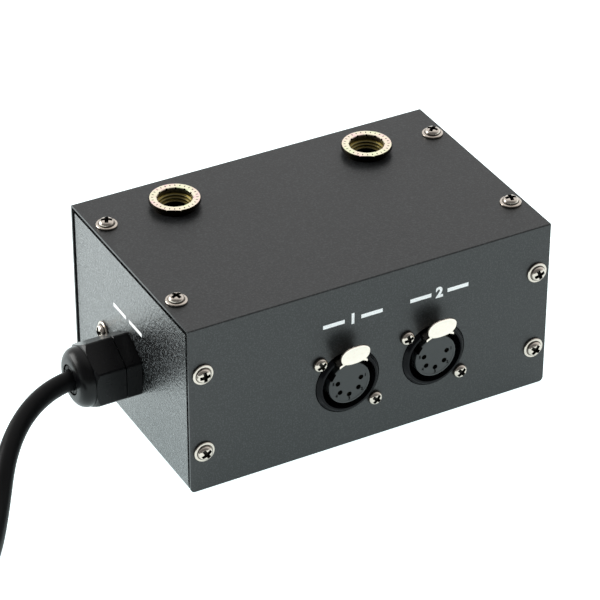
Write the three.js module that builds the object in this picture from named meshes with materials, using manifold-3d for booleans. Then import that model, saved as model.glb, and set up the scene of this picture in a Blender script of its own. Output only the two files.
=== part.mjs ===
// Two-way splitter box for stage lighting data: a folded steel cover over a base tray, two five-pole
// outlets with release latches, a rear inlet, two quarter-turn receptacles on top and a mains lead.
// Millimetres. The front faces -Y, +X is to the right, +Z is up, the origin is the underside's centre.

import * as THREE from "three";
import { mergeVertices } from "three/addons/utils/BufferGeometryUtils.js";
import Module from "manifold-3d";

const wasm = await Module();
wasm.setup();

// Clearances: the gap that fitted pieces keep, the one under a screw's head, and how far a cutter
// reaches past what it cuts
const gap = 0.3;
const seated = 0.1;
const overrun = 3;

// Folded sheet
const box = { width: 140, depth: 90, height: 65.7, sheet: 1.2, foldRadius: 2, footCorner: 1.6 };
const tray = { recess: 0.25, seam: 0.4, flange: 11, edgeRadius: 1.3, relief: 3 };

// Screws: cover screws have a washer flange, small ones a plain pan head
const coverScrew = {
  flangeRadius: 3.8, flangeHeight: 0.7, headRadius: 2.75, headHeight: 2.4,
  shankRadius: 1.4, shankLength: 6, crossSpan: 3.9, crossWidth: 0.9, crossDepth: 1.3,
};
const smallScrew = {
  flangeRadius: 2.6, flangeHeight: 0.5, headRadius: 2.6, headHeight: 1.9,
  shankRadius: 1.2, shankLength: 6.5, crossSpan: 3.4, crossWidth: 0.8, crossDepth: 1.1,
};
const coverScrewPlaces = { fromEnd: 5.1, topFromFold: 18.3, frontLow: 16, frontHigh: 47.5 };

// Earth point on the left end
const earth = {
  y: 21.4, z: 26.5, lugRadius: 3.2, lugSheet: 0.8, tongueWidth: 3, tongueLength: 8,
  nutAcross: 5.5, nutHeight: 2.4,
};

// Quarter-turn receptacles on top
const receptacle = {
  fromEnd: 31.8, fromRear: 17.3, flangeRadius: 9.2, flangeHeight: 1.4, chamfer: 0.35, neckRadius: 8.2,
  neckHeight: 1.5, barrelRadius: 7.7, barrelLength: 14, boreRadius: 6.2, boreDepth: 4.6,
  firstStepRadius: 5.4, firstStepDepth: 6.4, secondStepRadius: 4.6, floor: 1.6,
  notchRadius: 1, flatDepth: 0.5, nutAcross: 21, nutHeight: 4,
};

// Five-pole connectors, measured from their own centre on the panel's outer face
const connector = {
  z: 26.4, outletX: [-9.85, 24.1], inletX: 24.1, contactCircle: 4.6,
  contactDegrees: [12, -39, -90, -141, 168], boardGap: 0.9,
};
const shell = {
  radius: 12.1, rimRadius: 11.2, proud: 1.3, boreRadius: 10.3, depth: 18, backWall: 2,
  flangeWidth: 28, flangeHeight: 27, flangeCorner: 3, flangeThickness: 2.4,
  screwX: 10.8, screwZ: 10.35, bossRadius: 2.7, bossLength: 4.5,
};
const insert = { radius: 8, proud: 1.5, rearPast: 0.6, holeRadius: 0.95, contactRadius: 0.6, sunk: 2.7 };
const inlet = { boreRadius: 9.6, backWall: 3, rearHoleRadius: 7, discThickness: 3.5, pinRadius: 0.8,
  pinSunk: 1, holeRadius: 1.15, boardWidth: 20 };

// Release latch of an outlet: an arched arm in a slot at the top of the barrel, and a leaf-shaped tab
const latch = {
  innerRadius: 10.55, thickness: 0.8, halfWidth: 5.4, frontReach: 4.3, tailPast: 1.2,
  pivotHeight: 9.6, pivotDepth: 7, pinRadius: 0.65, pinHole: 0.85, pinInner: 5.2, pinEnd: 8,
  slotHalf: 5.9, slotFloor: 8.6, slotDepth: 12, earHalf: 8.4, earLow: 7.4, earHigh: 11.4,
  earReach: 2.3, toothHalf: 1.5, toothInner: 9.2, toothFront: 0.5, toothBack: 2.5,
  tabHeight: 14.45, tabHalfWidth: 5.55, tabHalfHeight: 3.35, tabDegrees: 10, tabOut: 5.2,
  skirtHalf: 4.6, skirtLow: 10.5,
};
const spring = { halfWidth: 1.5, sheet: 0.4, front: 4.5, back: 16.5, toe: 0.6, toeHeight: 11.75,
  rivetDepth: 14.5, rivetRadius: 0.6, rivetHeadRadius: 1.1, rivetHead: 0.5 };

// Circuit board behind the outlets and what it carries
const board = { left: -23, right: 39, low: 9, high: 46, thickness: 1.6 };
const chip = { width: 9.6, height: 6.4, thickness: 3.3, legWidth: 0.6, legPitch: 2.54, legReach: 1 };
const receiverChip = { x: 32, z: 38 };
const driverChip = { x: [-4, 14], z: 39 };
const capacitor = { x: 2, z: 17, radius: 5, length: 12, edge: 0.8 };

// Mains side
const supply = { fromEnd: 36, y: 18, width: 44, depth: 30, height: 22, edge: 1.5, lugWidth: 8,
  lugDepth: 11, lugHeight: 2.5 };
const terminal = { fromEnd: 27, y: -9, width: 24, depth: 14, height: 11.5, holePitch: 7, holeRadius: 1.6,
  holeDepth: 6, holeRow: -3.5, clipInset: 2.3, clipWidth: 2.4, clipDepth: 6.6, clipHeight: 4 };
const fuse = { row: 3.4, radius: 2.55, length: 20, capLength: 5, glassRadius: 2.3, lift: 3.2 };
const wire = { radius: 1.1, sides: 6, steps: 12, sheathInside: 13, riseShare: 0.45 };
const ribbon = { width: 6.4, thickness: 1, z: 22, sag: 7 };

// Cable gland on the left end
const gland = {
  y: 1.7, z: 25.3, across: 22, bodyHex: 6, threadRadius: 9, threadLength: 9, boreRadius: 4.2,
  sleeveRadius: 8.6, sleeveBore: 7.2, sleeveStart: 7, sleeveEnd: 12.8, nutHexEnd: 17.4,
  length: 22.3, domeRadius: 10.8, mouthRadius: 5.6, mouthLip: 0.6, cavityRadius: 8.9, cavityEnd: 13.4,
  throatRadius: 6.4, throatEnd: 20.4, sealTipRadius: 5.2, sealTip: 22.1, locknutAcross: 24,
  locknutHeight: 4.5,
};
const domeShares = [[1, 0], [0.99, 0.35], [0.93, 0.66], [0.82, 0.86], [0.7, 0.97]];

// Mains lead: the free stretches' points, and the coil that puts the rest away
const lead = { radius: 3.5, sides: 8, steps: 26, start: 14, run: 9 };
const leadRoute = [
  [-87.5, 1.7, 25.3], [-91.3, 1.6, 25.3], [-97.1, 0.7, 25], [-102.5, -0.9, 24.4],
  [-108.2, -3.5, 23.3], [-114, -7.2, 21.6], [-119.6, -12, 19.3], [-124.4, -17.2, 16.4],
  [-127.7, -21.5, 13.6], [-131.2, -26.7, 9.9], [-135.4, -33.2, 6.5], [-140.4, -40.9, 4.2],
  [-145.2, -48, 3.6],
];
const plugRoute = [
  [-244.2, -7.2, 10.3], [-242.2, 0.7, 8.9], [-239, 7.9, 7.2], [-234.8, 14.4, 5.8],
  [-229.9, 19.4, 4.9], [-224.4, 23.3, 4.3], [-217.4, 26.3, 3.7], [-210, 27.8, 3.7],
];
const coil = { x: -201, y: -41.2, radius: 48.5, pitch: 7.6, startDegrees: -37, turnsIn: 2.75,
  turnsOut: 2.68, climbTurns: 0.5, steps: 24, sides: 6 };
const plug = { x: -201, y: 28, aimDegrees: 0, reliefLength: 22, reliefRadius: 4.8,
  reliefEnd: 6.6, gripLength: 27, gripRadius: 11, faceRadius: 18, faceLength: 17, flareLength: 4,
  pinRadius: 2.4, pinLength: 19, pinSpacing: 19, bridgeWidth: 26, bridgeHeight: 9, bridgeDepth: 6,
  earthWidth: 6.5, earthDepth: 2.4, leadIn: 1 };

// Segments of round pieces
const sides = { hole: 8, small: 8, screw: 10, medium: 16, large: 24, fold: 3 };

// Materials
const paint = new THREE.MeshStandardMaterial({ color: 0x2b2d2e, roughness: 0.6, metalness: 0.1 });
const nickel = new THREE.MeshStandardMaterial({ color: 0xc9c6bd, roughness: 0.25, metalness: 1 });
const zinc = new THREE.MeshStandardMaterial({ color: 0xd8c48a, roughness: 0.3, metalness: 1 });
const blackMetal = new THREE.MeshStandardMaterial({ color: 0x1a1b1c, roughness: 0.45, metalness: 0.6 });
const insulator = new THREE.MeshStandardMaterial({ color: 0x4a4e50, roughness: 0.6, metalness: 0 });
const nylon = new THREE.MeshStandardMaterial({ color: 0x17191a, roughness: 0.45, metalness: 0 });
const rubber = new THREE.MeshStandardMaterial({ color: 0x0e0e0e, roughness: 0.8, metalness: 0 });
const laminate = new THREE.MeshStandardMaterial({ color: 0x1f5a38, roughness: 0.55, metalness: 0 });
const epoxy = new THREE.MeshStandardMaterial({ color: 0x202022, roughness: 0.5, metalness: 0 });
const greenPlastic = new THREE.MeshStandardMaterial({ color: 0x3c8f5a, roughness: 0.5, metalness: 0 });
const glass = new THREE.MeshStandardMaterial({ color: 0xd9dfe0, roughness: 0.1, metalness: 0.3 });
const sleeve = new THREE.MeshStandardMaterial({ color: 0x27408f, roughness: 0.4, metalness: 0.2 });
const greyWire = new THREE.MeshStandardMaterial({ color: 0x9a9a98, roughness: 0.6, metalness: 0 });
const redWire = new THREE.MeshStandardMaterial({ color: 0xa02820, roughness: 0.5, metalness: 0 });

// Solids from three.js geometry
const weld = 1e-4;

// Closed geometry to a solid with its faces pointing out.
function solidOf(geometry) {
  const bare = geometry.clone();
  bare.deleteAttribute("normal");
  bare.deleteAttribute("uv");
  const merged = mergeVertices(bare, weld);
  const index = merged.index.array;
  const kept = [];
  for (let i = 0; i < index.length; i += 3) {
    const [a, b, c] = [index[i], index[i + 1], index[i + 2]];
    if (a !== b && b !== c && c !== a) kept.push(a, b, c);
  }
  const build = (triVerts) => new wasm.Manifold(new wasm.Mesh({
    numProp: 3, vertProperties: merged.attributes.position.array, triVerts: new Uint32Array(triVerts),
  }));
  const made = build(kept);
  if (made.volume() >= 0) return made;
  const turned = [];
  for (let i = 0; i < kept.length; i += 3) turned.push(kept[i], kept[i + 2], kept[i + 1]);
  return build(turned);
}

function meshOf(name, solid, material) {
  const made = solid.getMesh();
  const geometry = new THREE.BufferGeometry();
  geometry.setAttribute("position", new THREE.BufferAttribute(made.vertProperties, 3));
  geometry.setIndex(new THREE.BufferAttribute(made.triVerts, 1));
  geometry.computeVertexNormals();
  const mesh = new THREE.Mesh(geometry, material);
  mesh.name = name;
  return mesh;
}

// A block from its low corner to its high corner.
function block([x0, y0, z0], [x1, y1, z1]) {
  const geometry = new THREE.BoxGeometry(x1 - x0, y1 - y0, z1 - z0);
  return solidOf(geometry.translate((x0 + x1) / 2, (y0 + y1) / 2, (z0 + z1) / 2));
}

// Maps a shape's plane and its depth to world axes, for a prism that runs along one of them.
const prismAxes = {
  x: new THREE.Matrix4().makeBasis(
    new THREE.Vector3(0, 1, 0), new THREE.Vector3(0, 0, 1), new THREE.Vector3(1, 0, 0)),
  y: new THREE.Matrix4().makeBasis(
    new THREE.Vector3(1, 0, 0), new THREE.Vector3(0, 0, 1), new THREE.Vector3(0, -1, 0)),
  z: new THREE.Matrix4(),
};

// A shape pushed along an axis from one place to another. Shapes are (y, z), (x, z) or (x, y).
function prism(shape, axis, from, to, curveSegments = sides.fold) {
  const options = { depth: to - from, bevelEnabled: false, curveSegments };
  const geometry = new THREE.ExtrudeGeometry(shape, options).applyMatrix4(prismAxes[axis]);
  const shift = { x: [from, 0, 0], y: [0, to, 0], z: [0, 0, from] }[axis];
  return solidOf(geometry.translate(...shift));
}

// A profile of [radius, height] points turned about an axis through the centre.
function turned(profile, segments, axis = "z", centre = [0, 0, 0]) {
  const points = profile.map(([r, h]) => new THREE.Vector2(r, h));
  const geometry = new THREE.LatheGeometry(points, segments);
  if (axis === "z") geometry.rotateX(Math.PI / 2);
  if (axis === "x") geometry.rotateZ(-Math.PI / 2);
  return solidOf(geometry.translate(...centre));
}

function rod(radius, from, to, segments, axis = "z", centre = [0, 0, 0]) {
  return turned([[0, from], [radius, from], [radius, to], [0, to]], segments, axis, centre);
}

// A rod in Z at a place in the plane.
const pegAt = (x, y, radius, from, to, segments = sides.small) =>
  rod(radius, from, to, segments, "z", [x, y, 0]);

function polygon(points) {
  return new THREE.Shape(points.map(([x, y]) => new THREE.Vector2(x, y)));
}

function roundedRect(x0, y0, x1, y1, radius) {
  const shape = new THREE.Shape();
  shape.moveTo(x0 + radius, y0);
  shape.lineTo(x1 - radius, y0);
  shape.absarc(x1 - radius, y0 + radius, radius, -Math.PI / 2, 0, false);
  shape.lineTo(x1, y1 - radius);
  shape.absarc(x1 - radius, y1 - radius, radius, 0, Math.PI / 2, false);
  shape.lineTo(x0 + radius, y1);
  shape.absarc(x0 + radius, y1 - radius, radius, Math.PI / 2, Math.PI, false);
  shape.lineTo(x0, y0 + radius);
  shape.absarc(x0 + radius, y0 + radius, radius, Math.PI, Math.PI * 1.5, false);
  return shape;
}

// A hexagonal prism along Z with two corners on the Y axis.
function hexPrism(across, from, to) {
  const radius = across / Math.sqrt(3);
  const corners = [...Array(6).keys()].map((k) => {
    const angle = Math.PI / 2 + (k * Math.PI) / 3;
    return [radius * Math.cos(angle), radius * Math.sin(angle)];
  });
  return prism(polygon(corners), "z", from, to);
}

const union = (solids) => solids.reduce((whole, part) => whole.add(part));
const without = (solid, cutters) => solid.subtract(union(cutters));

// A smooth curve through points, and a round section swept along a curve.
const curveThrough = (points) =>
  new THREE.CatmullRomCurve3(points.map((p) => new THREE.Vector3(...p)), false, "centripetal");

function sweep(route, radius, segments, steps) {
  const section = new THREE.Shape();
  section.absarc(0, 0, radius, 0, Math.PI * 2, false);
  const options = { steps, extrudePath: route, curveSegments: segments / 2, bevelEnabled: false };
  return solidOf(new THREE.ExtrudeGeometry(section, options));
}

// Frames of the panels: x to the right, y up and z out of the panel, seen from outside it

function panelFrame(turnDegrees, x, y) {
  const frame = new THREE.Group();
  frame.position.set(x, y, 0);
  frame.rotation.z = THREE.MathUtils.degToRad(turnDegrees);
  const upright = new THREE.Group();
  upright.rotation.x = Math.PI / 2;
  frame.add(upright);
  return { frame, upright };
}
const splitter = new THREE.Group();
const front = panelFrame(0, 0, -box.depth / 2);
const rear = panelFrame(180, 0, box.depth / 2);
const left = panelFrame(-90, -box.width / 2 + tray.recess, 0);
splitter.add(front.frame, rear.frame, left.frame);

function place(parent, mesh, x, y, z) {
  mesh.position.set(x, y, z);
  parent.add(mesh);
  return mesh;
}

// Places that the cover, the tray and the screws share
const screwX = box.width / 2 - coverScrewPlaces.fromEnd;
const topScrewY = box.depth / 2 - coverScrewPlaces.topFromFold;
const screwHeights = [coverScrewPlaces.frontLow, coverScrewPlaces.frontHigh];
const receptacleX = box.width / 2 - receptacle.fromEnd;
const receptacleY = box.depth / 2 - receptacle.fromRear;
const shankHole = coverScrew.shankRadius + gap;
const throughHole = smallScrew.shankRadius + gap;
const shellHole = shell.radius + gap;
const shellScrews = [[-shell.screwX, shell.screwZ], [shell.screwX, -shell.screwZ]];
const innerTop = box.height - box.sheet;

function coverOutline() {
  const half = box.depth / 2;
  const outer = box.foldRadius;
  const inner = outer - box.sheet;
  const shape = new THREE.Shape();
  shape.moveTo(-half, 0);
  shape.lineTo(-half + box.sheet, 0);
  shape.lineTo(-half + box.sheet, box.height - outer);
  shape.absarc(-half + outer, box.height - outer, inner, Math.PI, Math.PI / 2, true);
  shape.lineTo(half - outer, innerTop);
  shape.absarc(half - outer, box.height - outer, inner, Math.PI / 2, 0, true);
  shape.lineTo(half - box.sheet, 0);
  shape.lineTo(half, 0);
  shape.lineTo(half, box.height - outer);
  shape.absarc(half - outer, box.height - outer, outer, 0, Math.PI / 2, false);
  shape.lineTo(-half + outer, box.height);
  shape.absarc(-half + outer, box.height - outer, outer, Math.PI / 2, Math.PI, false);
  return shape;
}

// The silhouette that rounds the two lower corners of the front and rear walls.
function coverSilhouette() {
  const half = box.width / 2;
  const r = box.footCorner;
  const shape = new THREE.Shape();
  shape.moveTo(-half + r, 0);
  shape.lineTo(half - r, 0);
  shape.absarc(half - r, r, r, -Math.PI / 2, 0, false);
  shape.lineTo(half, box.height + overrun);
  shape.lineTo(-half, box.height + overrun);
  shape.lineTo(-half, r);
  shape.absarc(-half + r, r, r, Math.PI, Math.PI * 1.5, false);
  return shape;
}

// A cutter through one wall in Y, on the side that the sign names.
function wallHole(sign, x, z, radius, segments) {
  const wall = (sign * box.depth) / 2;
  return rod(radius, wall - overrun, wall + overrun, segments, "y", [x, 0, z]);
}

function cover() {
  const reach = box.depth / 2 + overrun;
  const sheet = prism(coverOutline(), "x", -box.width / 2, box.width / 2)
    .intersect(prism(coverSilhouette(), "y", -reach, reach));
  const cutters = [];
  for (const end of [-1, 1]) {
    for (const side of [-1, 1]) {
      cutters.push(pegAt(end * screwX, side * topScrewY, shankHole,
        innerTop - overrun, box.height + overrun));
      for (const z of screwHeights) cutters.push(wallHole(side, end * screwX, z, shankHole, sides.small));
    }
    cutters.push(pegAt(end * receptacleX, receptacleY, receptacle.barrelRadius + gap,
      innerTop - overrun, box.height + overrun, sides.medium));
  }
  for (const x of connector.outletX) cutters.push(...connectorHoles(-1, x));
  cutters.push(...connectorHoles(1, connector.inletX));
  return without(sheet, cutters);
}

// The barrel hole and the two screw holes of one connector. Seen from behind, X runs the other way.
function connectorHoles(sign, x) {
  const holes = shellScrews.map(([u, v]) =>
    wallHole(sign, x - sign * u, connector.z + v, throughHole, sides.hole));
  return [wallHole(sign, x, connector.z, shellHole, sides.large), ...holes];
}

function baseTray() {
  const halfX = box.width / 2 - tray.recess;
  const halfY = box.depth / 2 - box.sheet - tray.seam;
  const top = innerTop - tray.seam;
  const r = tray.edgeRadius;
  const t = box.sheet;
  // The outer solid has rounded folds along the edges of its two ends
  const outer = prism(roundedRect(-halfX, -halfY, halfX, halfY, r), "z", 0, top)
    .intersect(prism(roundedRect(-halfX, 0, halfX, top, r), "y", -halfY, halfY));
  const hollow = block([-halfX + t, -halfY + t, t], [halfX - t, halfY - t, top - t]);
  const open = halfX - tray.flange;
  const cutters = [
    hollow,
    block([-open, -halfY - overrun, t], [open, halfY + overrun, top + overrun]),
  ];
  for (const end of [-1, 1]) {
    const a = end * (halfX + overrun);
    const b = end * (halfX - t);
    const inward = end * (open - overrun);
    const [x0, x1] = [Math.min(inward, b), Math.max(inward, b)];
    for (const side of [-1, 1]) {
      // Open corners where the top flange meets the side flanges, and above the bottom plate
      const y0 = side * (halfY - tray.relief);
      const y1 = side * (halfY + overrun);
      const span = [Math.min(y0, y1), Math.max(y0, y1)];
      cutters.push(block([x0, span[0], top - tray.relief], [x1, span[1], top + overrun]));
      cutters.push(block([x0, Math.min(side * (halfY - t), y1), t], [x1, Math.max(side * (halfY - t), y1),
        t + tray.relief]));
      cutters.push(pegAt(end * screwX, side * topScrewY, shankHole, top - t - overrun, top + overrun));
      for (const z of screwHeights) cutters.push(wallHole(side, end * screwX, z, shankHole, sides.small));
    }
    if (a < 0) cutters.push(rod(gland.threadRadius + gap, a, b + overrun, sides.large, "x",
      [0, gland.y, gland.z]));
    if (a < 0) cutters.push(rod(shankHole, a, b + overrun, sides.small, "x", [0, earth.y, earth.z]));
  }
  for (const k of [-1, 1]) cutters.push(pegAt(supplyLugX(k), supply.y, throughHole, -overrun, t + overrun));
  return without(outer, cutters);
}

// A cross-recess screw standing on z = 0 with its head up.
function screw(size) {
  const dome = size.headHeight - size.flangeHeight;
  const profile = [
    [0, -size.shankLength], [size.shankRadius, -size.shankLength], [size.shankRadius, 0],
    [size.flangeRadius, 0], [size.flangeRadius, size.flangeHeight],
    ...screwDomeShares.map(([r, h]) => [r * size.headRadius, size.flangeHeight + h * dome]),
  ];
  const low = size.headHeight - size.crossDepth;
  const arm = (w, d) => block([-w / 2, -d / 2, low], [w / 2, d / 2, size.headHeight + overrun]);
  return without(turned(profile, sides.screw), [
    arm(size.crossSpan, size.crossWidth), arm(size.crossWidth, size.crossSpan),
  ]);
}
const screwDomeShares = [[1, 0], [0.78, 0.78], [0, 1]];

function lockReceptacle() {
  const s = receptacle;
  const top = s.neckHeight + s.flangeHeight;
  const profile = [
    [0, -s.barrelLength], [s.barrelRadius, -s.barrelLength], [s.barrelRadius, 0], [s.neckRadius, 0],
    [s.neckRadius, s.neckHeight], [s.flangeRadius, s.neckHeight], [s.flangeRadius, top - s.chamfer],
    [s.flangeRadius - s.chamfer, top], [s.boreRadius, top], [s.boreRadius, top - s.boreDepth],
    [s.firstStepRadius, top - s.boreDepth], [s.firstStepRadius, top - s.firstStepDepth],
    [s.secondStepRadius, top - s.firstStepDepth], [s.secondStepRadius, s.floor - s.barrelLength],
    [0, s.floor - s.barrelLength],
  ];
  const notches = [-1, 1].map((k) => pegAt(0, k * s.boreRadius, s.notchRadius, top - s.flangeHeight,
    top + overrun));
  const flat = block([-s.flangeRadius, -s.flangeRadius - overrun, s.neckHeight],
    [s.flangeRadius, -s.flangeRadius + s.flatDepth, top + overrun]);
  return without(turned(profile, sides.large), [...notches, flat]);
}

const receptacleNut = () =>
  hexPrism(receptacle.nutAcross, 0, receptacle.nutHeight)
    .subtract(rod(receptacle.barrelRadius + gap, -overrun, receptacle.nutHeight + overrun, sides.medium));

// The places of the five contacts round a connector's centre, mirrored for a plug-in face.
function contactPlaces(mirror = 1) {
  return connector.contactDegrees.map((degrees) => {
    const a = THREE.MathUtils.degToRad(degrees);
    return [mirror * connector.contactCircle * Math.cos(a), connector.contactCircle * Math.sin(a)];
  });
}

const flangeFront = -(box.sheet + gap);
const boardFront = -(shell.depth + insert.rearPast + connector.boardGap);
const boardBack = boardFront - board.thickness;

// The barrel, the flange behind the panel and its two screw bosses, before its bore is cut.
function shellBlank() {
  const barrel = turned([
    [0, -shell.depth], [shell.radius, -shell.depth], [shell.radius, 0], [shell.rimRadius, shell.proud],
    [0, shell.proud],
  ], sides.large);
  const w = shell.flangeWidth / 2;
  const h = shell.flangeHeight / 2;
  const back = flangeFront - shell.flangeThickness;
  const flange = prism(roundedRect(-w, -h, w, h, shell.flangeCorner), "z", back, flangeFront);
  const bosses = shellScrews.map(([x, y]) => pegAt(x, y, shell.bossRadius, back - shell.bossLength,
    back + gap));
  return union([barrel, flange, ...bosses]);
}

const shellScrewCuts = () => shellScrews.map(([x, y]) => pegAt(x, y, throughHole,
  -smallScrew.shankLength - gap - overrun, overrun, sides.hole));

function outletHousing() {
  const s = latch;
  const ears = block([-s.earHalf, s.earLow, -s.pivotDepth - s.earReach],
    [s.earHalf, s.earHigh, -s.pivotDepth + s.earReach]);
  const slot = block([-s.slotHalf, s.slotFloor, -s.slotDepth],
    [s.slotHalf, shell.flangeHeight, shell.proud + overrun]);
  const body = without(shellBlank().add(ears), [
    rod(shell.boreRadius, -shell.depth + shell.backWall, shell.proud + overrun, sides.large),
    rod(insert.radius + gap, -shell.depth - overrun, 0, sides.large),
    slot,
    rod(s.pinHole, -s.earHalf - overrun, s.earHalf + overrun, sides.small, "x",
      [0, s.pivotHeight, -s.pivotDepth]),
    ...shellScrewCuts(),
  ]);
  const rivet = turned([
    [0, shell.radius - overrun], [spring.rivetRadius, shell.radius - overrun],
    [spring.rivetRadius, rivetSeat], [spring.rivetHeadRadius, rivetSeat],
    [spring.rivetHeadRadius, rivetSeat + spring.rivetHead], [0, rivetSeat + spring.rivetHead],
  ], sides.small, "y", [0, 0, -spring.rivetDepth]);
  const trimmed = rivet.subtract(rod(insert.radius + gap, -shell.depth, 0, sides.large));
  return body.add(trimmed);
}
const rivetSeat = shell.radius + gap + spring.sheet + gap;

function outletInsert() {
  const holes = contactPlaces().map(([x, y]) => pegAt(x, y, insert.holeRadius, -shell.depth - overrun,
    insert.proud + overrun));
  return without(rod(insert.radius, -shell.depth - insert.rearPast, insert.proud, sides.large), holes);
}

// The leaf outline of the push tab: rounder than an ellipse at its ends, by this power.
const tabPowerShare = 2.4;
function tabOutline() {
  const points = [];
  for (let k = 0; k < sides.medium; k += 1) {
    const a = (k / sides.medium) * Math.PI * 2;
    const round = (v) => Math.sign(v) * Math.abs(v) ** (2 / tabPowerShare);
    points.push([latch.tabHalfWidth * round(Math.cos(a)), latch.tabHalfHeight * round(Math.sin(a))]);
  }
  return polygon(points);
}

function outletLatch() {
  const s = latch;
  const arc = Math.asin(s.halfWidth / s.innerRadius);
  const outerRadius = s.innerRadius + s.thickness;
  const arch = new THREE.Shape();
  arch.absarc(0, 0, outerRadius, Math.PI / 2 - arc, Math.PI / 2 + arc, false);
  arch.absarc(0, 0, s.innerRadius, Math.PI / 2 + arc, Math.PI / 2 - arc, true);
  const arm = prism(arch, "z", -s.pivotDepth - s.tailPast, s.frontReach, sides.small);
  const tilt = THREE.MathUtils.degToRad(s.tabDegrees);
  const plate = prism(tabOutline(), "z", -s.thickness / 2, s.thickness / 2);
  const skirt = block([-s.skirtHalf, s.skirtLow - s.tabHeight, -s.thickness / 2],
    [s.skirtHalf, 0, s.thickness / 2]);
  const tab = plate.add(skirt).rotate([s.tabDegrees, 0, 0])
    .translate([0, s.tabHeight, s.tabOut]);
  const join = block([-s.skirtHalf, s.innerRadius, s.frontReach - s.thickness],
    [s.skirtHalf, outerRadius, s.tabOut - (s.tabHeight - outerRadius) * Math.tan(tilt)]);
  const tooth = block([-s.toothHalf, s.toothInner, -s.toothBack],
    [s.toothHalf, s.innerRadius + s.thickness / 2, -s.toothFront]);
  const pins = [-1, 1].map((k) => rod(s.pinRadius, Math.min(k * s.pinInner, k * s.pinEnd),
    Math.max(k * s.pinInner, k * s.pinEnd), sides.small, "x", [0, s.pivotHeight, -s.pivotDepth]));
  return union([arm, tab, join, tooth, ...pins]);
}

function latchSpring() {
  const s = spring;
  const low = shell.radius + gap;
  const leaf = block([-s.halfWidth, low, -s.back], [s.halfWidth, low + s.sheet, -s.front]);
  const toe = block([-s.halfWidth, s.toeHeight, -s.front - s.toe], [s.halfWidth, low + s.sheet, -s.front]);
  const hole = rod(s.rivetRadius + gap, low - overrun, low + overrun, sides.small, "y",
    [0, 0, -s.rivetDepth]);
  return leaf.add(toe).subtract(hole);
}

function inletHousing() {
  return without(shellBlank(), [
    rod(inlet.boreRadius, -shell.depth + inlet.backWall, shell.proud + overrun, sides.large),
    rod(inlet.rearHoleRadius, -shell.depth - overrun, 0, sides.medium),
    ...shellScrewCuts(),
  ]);
}

function inletInsert() {
  const floor = -shell.depth + inlet.backWall + gap;
  const holes = contactPlaces(-1).map(([x, y]) => pegAt(x, y, inlet.holeRadius, floor - overrun,
    floor + inlet.discThickness + overrun));
  return without(rod(inlet.boreRadius - gap, floor, floor + inlet.discThickness, sides.large), holes);
}

function inletBoard() {
  const w = inlet.boardWidth / 2;
  const plate = block([-w, -w, boardBack], [w, w, boardFront]);
  const pins = contactPlaces(-1).map(([x, y]) => turned([
    [0, boardBack - gap], [inlet.pinRadius, boardBack - gap],
    [inlet.pinRadius, shell.proud - inlet.pinSunk - inlet.pinRadius],
    [inlet.pinRadius / 2, shell.proud - inlet.pinSunk], [0, shell.proud - inlet.pinSunk],
  ], sides.small, "z", [x, y, 0]));
  return union([plate, ...pins]);
}

// The board behind both outlets, with the ten contacts soldered to it.
function mainBoard() {
  const plate = block([board.left, board.low, boardBack], [board.right, board.high, boardFront]);
  const tip = insert.proud - insert.sunk;
  const contacts = connector.outletX.flatMap((x) => contactPlaces().map(([u, v]) =>
    pegAt(x + u, connector.z + v, insert.contactRadius, boardBack - gap, tip, sides.hole)));
  return union([plate, ...contacts]);
}

function chipBody() {
  const s = chip;
  const back = boardBack - gap;
  const body = block([-s.width / 2, -s.height / 2, back - s.thickness],
    [s.width / 2, s.height / 2, back - s.legWidth]);
  const legs = [];
  for (const side of [-1, 1])
    for (const k of [-1.5, -0.5, 0.5, 1.5]) {
      const y0 = side * (s.height / 2 - s.legWidth);
      const y1 = side * (s.height / 2 + s.legReach);
      legs.push(block([k * s.legPitch - s.legWidth / 2, Math.min(y0, y1), back - s.thickness / 2],
        [k * s.legPitch + s.legWidth / 2, Math.max(y0, y1), back]));
    }
  return union([body, ...legs]);
}

function capacitorBody() {
  const s = capacitor;
  const back = boardBack - gap;
  return turned([
    [0, back - s.length], [s.radius - s.edge, back - s.length], [s.radius, back - s.length + s.edge],
    [s.radius, back], [0, back],
  ], sides.medium);
}

// Mains supply: a potted block with a lug at each end
const floorTop = box.sheet + gap;
const supplyX = supply.fromEnd - box.width / 2;
const terminalX = terminal.fromEnd - box.width / 2;
const supplyLugX = (k) => supplyX + k * (supply.width / 2 + supply.lugWidth / 2);

function mainsSupply() {
  const s = supply;
  const w = s.width / 2;
  const d = s.depth / 2;
  const body = prism(roundedRect(supplyX - w, s.y - d, supplyX + w, s.y + d, s.edge), "z", floorTop,
    floorTop + s.height);
  const lug = block([supplyX - w - s.lugWidth, s.y - s.lugDepth / 2, floorTop],
    [supplyX + w + s.lugWidth, s.y + s.lugDepth / 2, floorTop + s.lugHeight]);
  return without(body.add(lug), [-1, 1].map((k) => pegAt(supplyLugX(k), s.y, throughHole, -overrun,
    floorTop + s.lugHeight + overrun)));
}

const terminalTop = floorTop + terminal.height;
const fuseHeight = terminalTop + fuse.lift;

function mainsTerminal() {
  const s = terminal;
  const [x0, x1] = [terminalX - s.width / 2, terminalX + s.width / 2];
  const body = block([x0, s.y - s.depth / 2, floorTop], [x1, s.y + s.depth / 2, terminalTop]);
  const clips = [x0 + s.clipInset, x1 - s.clipInset].map((x) => block(
    [x - s.clipWidth / 2, s.y + fuse.row - s.clipDepth / 2, terminalTop - gap],
    [x + s.clipWidth / 2, s.y + fuse.row + s.clipDepth / 2, terminalTop + s.clipHeight]));
  const holes = [-1, 0, 1].map((k) => pegAt(terminalX + k * s.holePitch, s.y + s.holeRow, s.holeRadius,
    terminalTop - s.holeDepth, terminalTop + overrun));
  const seat = rod(fuse.radius + gap, x0 - overrun, x1 + overrun, sides.medium, "x",
    [0, s.y + fuse.row, fuseHeight]);
  return without(union([body, ...clips]), [...holes, seat]);
}

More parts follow.
